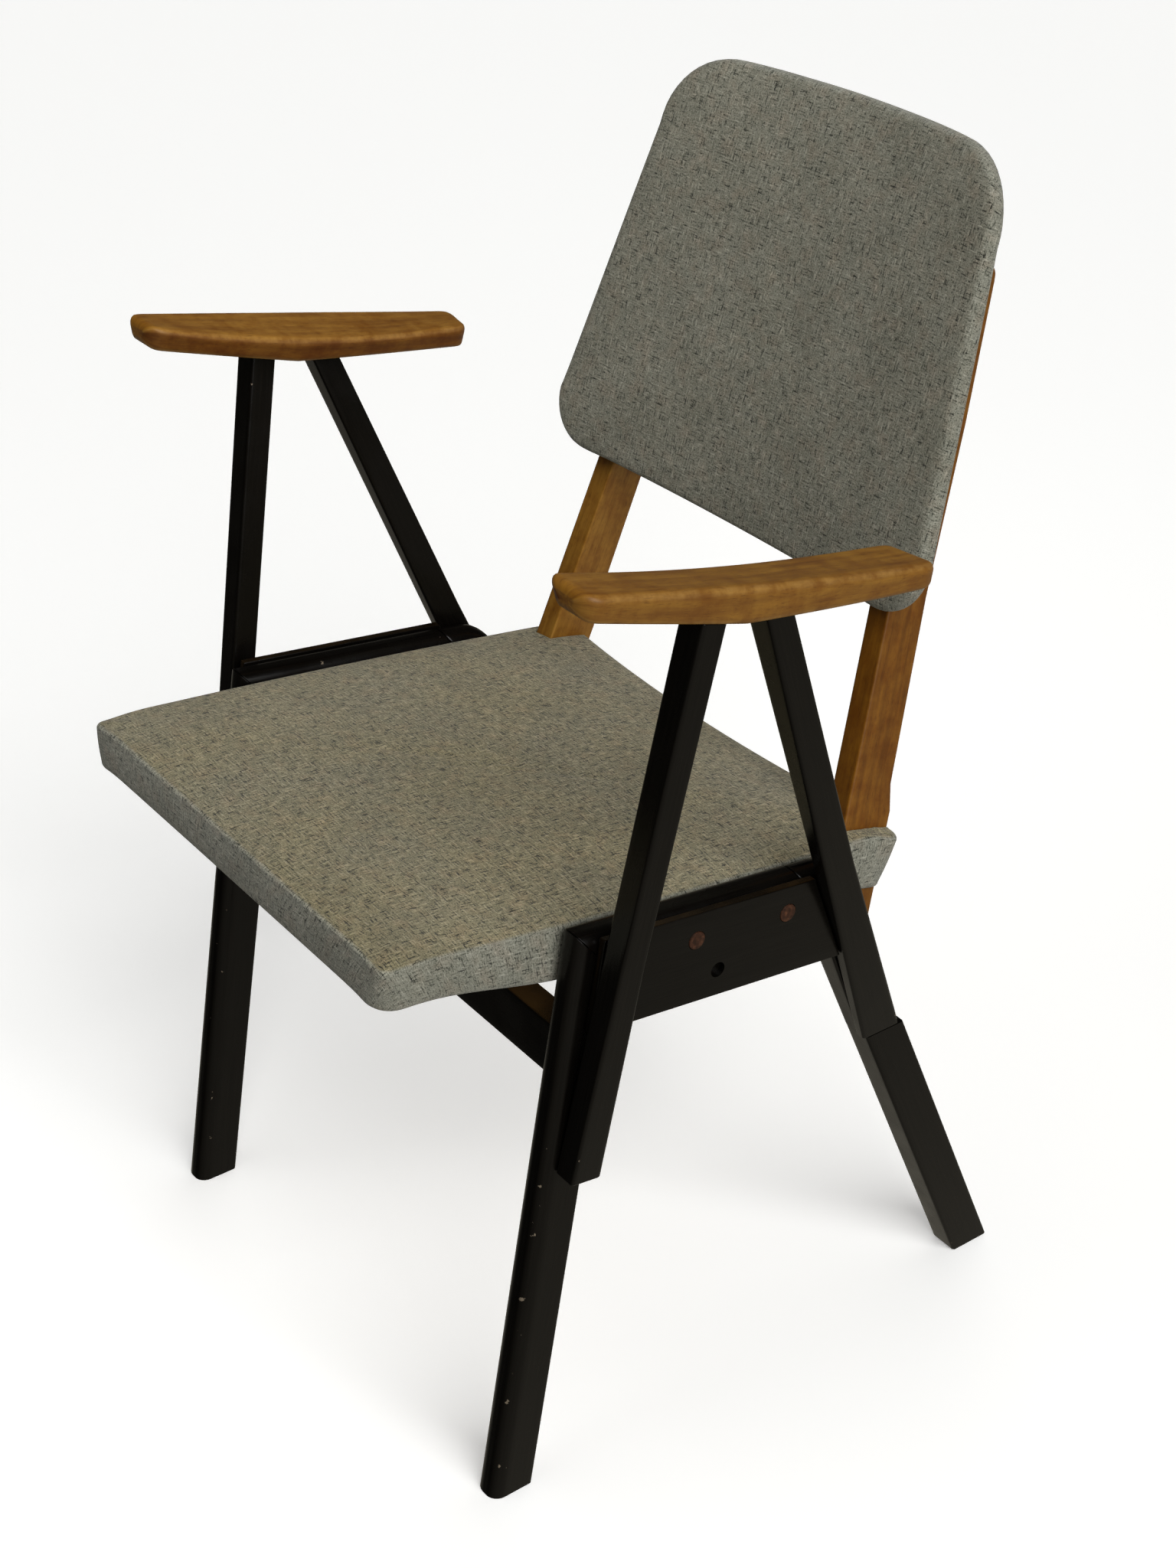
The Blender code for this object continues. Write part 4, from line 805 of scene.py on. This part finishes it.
def rim_rings(top, bottom, radius, under, lip, wrap):
    """Rows of (inset, depth w, share of the lower outline, arris, share of the hang) over a pad's rim.

    Over by a quarter circle of radius, down a side that bulges by half a sine wave, under by another quarter
    circle, in to a lip below the board, and over the board's edge into the pocket. Returns them with the
    count of rows outside the lip.
    """
    turn = np.linspace(0, math.pi / 2, 7)
    zero, one = np.zeros(len(turn)), np.ones(len(turn))
    t = np.linspace(0, 1, 8)[1:-1]
    bulge = -0.4 * MM * np.sin(math.pi * t)
    rubbed = np.sin(2 * turn)
    over = np.stack([radius * (1 - np.sin(turn)), top - radius * (1 - np.cos(turn)), zero, rubbed, zero], -1)
    side = np.stack([bulge, blend(top - radius, bottom + under, t), t, 0 * t, t], -1)
    below = np.stack([under * (1 - np.cos(turn)), bottom + under * (1 - np.sin(turn)), one, zero, one], -1)
    inside = [(lip, bottom, 1, 0, 0), (lip + 0.5 * MM, bottom + 0.5 * MM, 1, 0, 0),
              (wrap - 0.2 * MM, bottom + 0.9 * MM, 0.6, 0, 0), (wrap - 0.2 * MM, 0.2 * MM, 0, 0, 0),
              (wrap + 4 * MM, 0.2 * MM, 0, 0, 0)]
    return np.vstack([over, side, below, inside]), len(over) + len(side) + len(below)


def outward(outline):
    """Unit normals of a closed outline, from each point's neighbours."""
    run = np.roll(outline, -1, 0) - np.roll(outline, 1, 0)
    run /= np.linalg.norm(run, axis=1)[:, None]
    return np.stack([run[:, 1], -run[:, 0]], -1)


# How far the foam may press the cloth out, in mm, in the middle of a face and at its rim
FACE_REACH, RIM_REACH = 2.2, 0.5


def pad(name, outline, lower, corner, rim, free, crown, place, soil, rubbed, hang=0.0):
    """Upholstered pad as rings from the middle of its face, over the rim and into its pocket.

    Face ring at share s: the outline at the rim's first inset, drawn to its middle by s and lifted by
    crown (1 - s^2)^0.8. A rim ring follows the mix of the outline and the lower one by its share, set in
    along its normals, or drawn to the middle where it is set in past the corners' radius, and lowered by its
    share of hang. The cloth's own place is (x, v) on the face, and past it goes on outwards by the length
    run. Wear is the rubbed arris in x and the soiled face in z.
    """
    normal = outward(outline)
    face_edge = outline - normal * rim[0, 0]
    middle = face_edge.mean(0)
    half = np.ptp(outline, axis=0) / 2
    shares = np.concatenate([np.linspace(0.03, 0.9, 26), np.linspace(0.92, 0.985, 4)])
    rings, cloth, wear_and_painted_light, reach = [], [], [], []
    for s in shares:
        flat = middle + (face_edge - middle) * s
        rings.append(place(flat[:, 0], flat[:, 1], rim[0, 1] + crown * (1 - s * s) ** 0.8))
        cloth.append(flat)
        wear_and_painted_light.append((0 * rubbed, soil + 0 * rubbed))
        reach.append(blend(FACE_REACH, RIM_REACH, s ** 4) * MM)
    run = np.concatenate([[0], np.cumsum(np.linalg.norm(np.diff(rim[:, :2], axis=0), axis=1))])
    for (inset, w, sunk, arris, fall), length in zip(rim, run):
        edge = blend(outline, lower, sunk)
        if inset < corner:
            flat = edge - outward(edge) * inset
        else:
            flat = middle + (edge - middle) * (1 - inset / half)
        rings.append(place(flat[:, 0], flat[:, 1], w - fall * hang + 0 * flat[:, 0]))
        cloth.append(face_edge + normal * length)
        wear_and_painted_light.append((arris * rubbed, soil * max(0.0, 1 - 400 * length) + 0 * rubbed))
        reach.append(RIM_REACH * MM)
    rings = np.array(rings)
    cloth = np.dstack([np.array(cloth), np.zeros(rings.shape[:2])])
    rub, stain = np.array(wear_and_painted_light).transpose(1, 0, 2)
    piece = skin(name, rings, {"cloth": cloth, "wear_and_painted_light": np.dstack([rub, 0 * rub, stain])})
    limit = np.append(np.repeat(reach, len(outline)), (FACE_REACH * MM, 0))
    limit[(len(shares) + free - 2) * len(outline):-2] = 0
    plump(piece, limit)
    return piece


def plump(piece, limit, pressure=2.2, frames=14):
    """Let the foam press the cloth out, by a cloth simulation under pressure.

    Points with a limit of 0 are held, and no point is moved further than its limit.
    """
    group = piece.vertex_groups.new(name="held")
    group.add(np.flatnonzero(limit == 0).tolist(), 1.0, "REPLACE")
    cloth = piece.modifiers.new("foam", "CLOTH")
    foam = cloth.settings
    foam.quality = 5
    foam.mass = 0.3
    foam.tension_stiffness = 25
    foam.compression_stiffness = 25
    foam.shear_stiffness = 10
    foam.bending_stiffness = 3
    foam.use_pressure = True
    foam.uniform_pressure_force = pressure
    foam.vertex_group_mass = "held"
    foam.effector_weights.gravity = 0
    cloth.point_cache.frame_start = 1
    cloth.point_cache.frame_end = frames
    rest = np.empty(len(piece.data.vertices) * 3, np.float32)
    piece.data.vertices.foreach_get("co", rest)
    for step in range(1, frames + 1):
        STAGE.frame_set(step)
    blown = np.empty_like(rest)
    piece.evaluated_get(bpy.context.evaluated_depsgraph_get()).data.vertices.foreach_get("co", blown)
    piece.modifiers.remove(cloth)
    STAGE.frame_set(1)
    move = (blown - rest).reshape(-1, 3)
    length = np.linalg.norm(move, axis=1, keepdims=True)
    move *= np.minimum(1, limit[:, None] / np.maximum(length, 1e-9))
    piece.data.vertices.foreach_set("co", rest + move.ravel())
    piece.data.update()


def ramped(value, start, end):
    """0 before start, 1 past end, and 3t^2 - 2t^3 between."""
    t = np.clip((value - start) / (end - start), 0, 1)
    return t * t * (3 - 2 * t)


def seat_droop(x, v, w):
    """Points of the seat, lowered at its corners by a bell curve of the distance to them."""
    aside = np.abs(x) - seat_half(v)
    front = 2.5 * MM * np.exp(-(aside ** 2 + (v - SEAT_FRONT) ** 2) / 0.022 ** 2)
    rear = 5.5 * MM * np.exp(-(aside ** 2 + (v - SEAT_REAR) ** 2) / 0.016 ** 2)
    return seat_place(x, v, w - front - rear)


def build_seat():
    """Seat cover over the board, with notches for the back posts."""
    outline = pad_outline(SEAT_FRONT, SEAT_REAR, seat_half, 8 * MM, 8 * MM, 0.014)
    lower = pad_outline(SEAT_FRONT, SEAT_REAR - 1 * MM, seat_half, 20 * MM, 16 * MM, 0.014)
    x, v = np.abs(outline[:, 0]), outline[:, 1]
    # The ears behind the posts flare out a little at the top
    flare = 3 * MM * ramped(v, SEAT_REAR - 0.035, SEAT_REAR) * ramped(x, 0.16, 0.18)
    outline += flare[:, None] * np.sign(outline)
    # The cover hangs lower along the sides, but not across the front and the middle of the rear
    hang = 10.5 * MM * ramped(v, -0.205, -0.090) * ramped(x, 0.12, 0.18)
    rubbed = blend(1.0, 0.12, ramped(v, SEAT_FRONT + 4 * MM, SEAT_FRONT + 14 * MM))
    rim, free = rim_rings(SEAT_PAD_T, -SEAT_BOARD_T - 0.9 * MM, 3.2 * MM, 5 * MM, 26 * MM, 6 * MM)
    seat = pad("seat_cover", outline, lower, 8 * MM, rim, free, 5 * MM, seat_droop, 1.0, rubbed, hang)
    low, high, gap = RAIL_TOP_Z - 0.09, RAIL_TOP_Z + 0.03, 1 * MM
    inner, outer = beside(post_in, -gap), beside(post_out, gap)
    notches = []
    for side, tag in SIDES:
        stations = [quad(side, (post_front(z) - gap, z), (SEAT_REAR + 0.03, z), inner, outer)
                    for z in (low, high)]
        notches.append(bar(tag + "_notch", stations, (2 * MM,) * 4, eased(1)))
    cut(seat, notches, crossing=True)
    dress(seat, WEAVE, "heather_fabric", "seat_pad")


def build_back():
    """Back cover, drawn over the bent board's edge."""
    foot_corner, top_corner = 37 * MM, 58 * MM
    outline = pad_outline(0.0, BACK_H + 3 * MM, back_half, foot_corner, top_corner, -4 * MM)
    # The cover is drawn tight by 2 mm at its foot, where the posts show beside it
    outline[:, 0] *= 1 - 0.010 * (1 - ramped(outline[:, 1], 0.03, 0.26))
    rim, free = rim_rings(BACK_PAD_T, -BACK_BOARD_T - 0.7 * MM, 4.2 * MM, 3.5 * MM, 14 * MM, 2 * MM)
    rubbed = np.full(len(outline), 0.15)
    back = pad("back_cover", outline, outline, foot_corner, rim, free, 4 * MM, back_place, 0.12, rubbed)
    dress(back, WEAVE, "heather_fabric", "back_pad")


for SIDE, TAG in SIDES:
    build_trestle(SIDE, TAG)
    build_arm(SIDE, TAG)
    build_back_post(SIDE, TAG)
build_stretchers()
build_seat()
build_back()
# The solids that still show: boards, dowels, and screws and bolts of steel
for NAME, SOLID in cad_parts.items():
    if not SOLID.hide_render:
        FINISH = PLYWOOD if NAME.endswith("board") else ARM_BEECH if NAME.endswith("dowel") else STEEL
        SOLID.data.materials.clear()
        SOLID.data.materials.append(FINISH)


# Studio

def pale_floor():
    """Matt white paper sweep, lit a little from below."""
    material, tree, shader = new_material("matt_white_paper", {
        "Base Color": linear("#f4f4f2"), "Specular IOR Level": 0.1,
        "Emission Color": linear("#ffffff"), "Emission Strength": 0.3})
    place = node(tree, "TexCoord")["Object"]
    tooth = node(tree, "TexNoise", {"Vector": place, "Scale": 1 / 0.004, "Detail": 2.0})[0]
    rough = node(tree, "MapRange", {0: tooth, 3: 0.85, 4: 0.95})[0]
    tree.links.new(rough, shader.inputs["Roughness"])
    mesh = bpy.data.meshes.new("floor")
    reach = 30.0
    corners = [(-reach, -reach, 0), (reach, -reach, 0), (reach, reach, 0), (-reach, reach, 0)]
    mesh.from_pydata(corners, [], [(0, 1, 2, 3)])
    mesh.materials.append(material)
    floor = bpy.data.objects.new("floor", mesh)
    STAGE.collection.objects.link(floor)
    floor.visible_glossy = floor.visible_diffuse = floor.visible_shadow = False


def soft_light(name, kind, at, aim, strength, mirrored, **settings):
    """Light at a place that points to aim; mirrored says if glossy pieces show it."""
    light = bpy.data.lights.new(name, kind)
    light.energy = strength
    for key, value in settings.items():
        setattr(light, key, value)
    lamp = bpy.data.objects.new(name, light)
    lamp.location = at
    lamp.rotation_euler = (Vector(aim) - Vector(at)).to_track_quat("-Z", "Y").to_euler()
    lamp.visible_camera = False
    lamp.visible_glossy = mirrored
    STAGE.collection.objects.link(lamp)


def studio():
    """White paper floor, a broad light from far off on the right, a soft box above the seat's front, weak
    light from behind and from the paper below, and the camera.

    The room is pale to the eye, and the lacquer mirrors it as dim, lighter low down except in front.
    """
    pale_floor()
    soft_light("key", "SUN", (0.83, -0.10, 0.55), (0, 0, 0), 3.2, True, angle=math.radians(50))
    soft_light("soft_box", "AREA", (-0.10, -0.38, 1.55), (0, 0, 0.45), 5.6, False, size=0.9)
    soft_light("rear", "SUN", (-0.40, 0.90, 0.15), (0, 0, 0), 1.5, False, angle=math.radians(90))
    soft_light("paper_glow", "SUN", (0, 0, -1), (0, 0, 0), 0.8, False, angle=math.radians(160))
    world = bpy.data.worlds.new("studio")
    world.use_nodes = True
    tree = world.node_tree
    way = node(tree, "SeparateXYZ", {0: node(tree, "TexCoord")["Generated"]})
    right = node(tree, "MapRange", {0: way["X"], 1: -0.3, 2: 0.6})[0]
    behind = node(tree, "MapRange", {0: way["Y"], 1: -0.45, 2: 0.0})[0]
    around = node(tree, "Math", {0: right, 1: behind}, operation="MAXIMUM")[0]
    low = node(tree, "MapRange", {0: way["Z"], 1: 0.1, 2: -0.2})[0]
    glow = node(tree, "Math", {0: around, 1: low}, operation="MULTIPLY")[0]
    room = node(tree, "ValToRGB", {0: glow}, ramp=((0.0, "#2a2926"), (1.0, "#928d80")))[0]
    seen = node(tree, "LightPath")["Is Camera Ray"]
    room = node(tree, "Mix", {0: seen, 6: room, 7: linear("#fdfdfc")}, data_type="RGBA")[2]
    tree.links.new(room, tree.nodes["Background"].inputs["Color"])
    STAGE.world = world
    STAGE.view_settings.view_transform = "Standard"
    lens = bpy.data.cameras.new("camera")
    lens.lens = CAMERA_LENS
    lens.sensor_width = 36.0
    camera = bpy.data.objects.new("camera", lens)
    camera.location = CAMERA_AT
    camera.rotation_euler = Vector(CAMERA_LOOK).to_track_quat("-Z", "Y").to_euler()
    STAGE.collection.objects.link(camera)
    STAGE.camera = camera


studio()
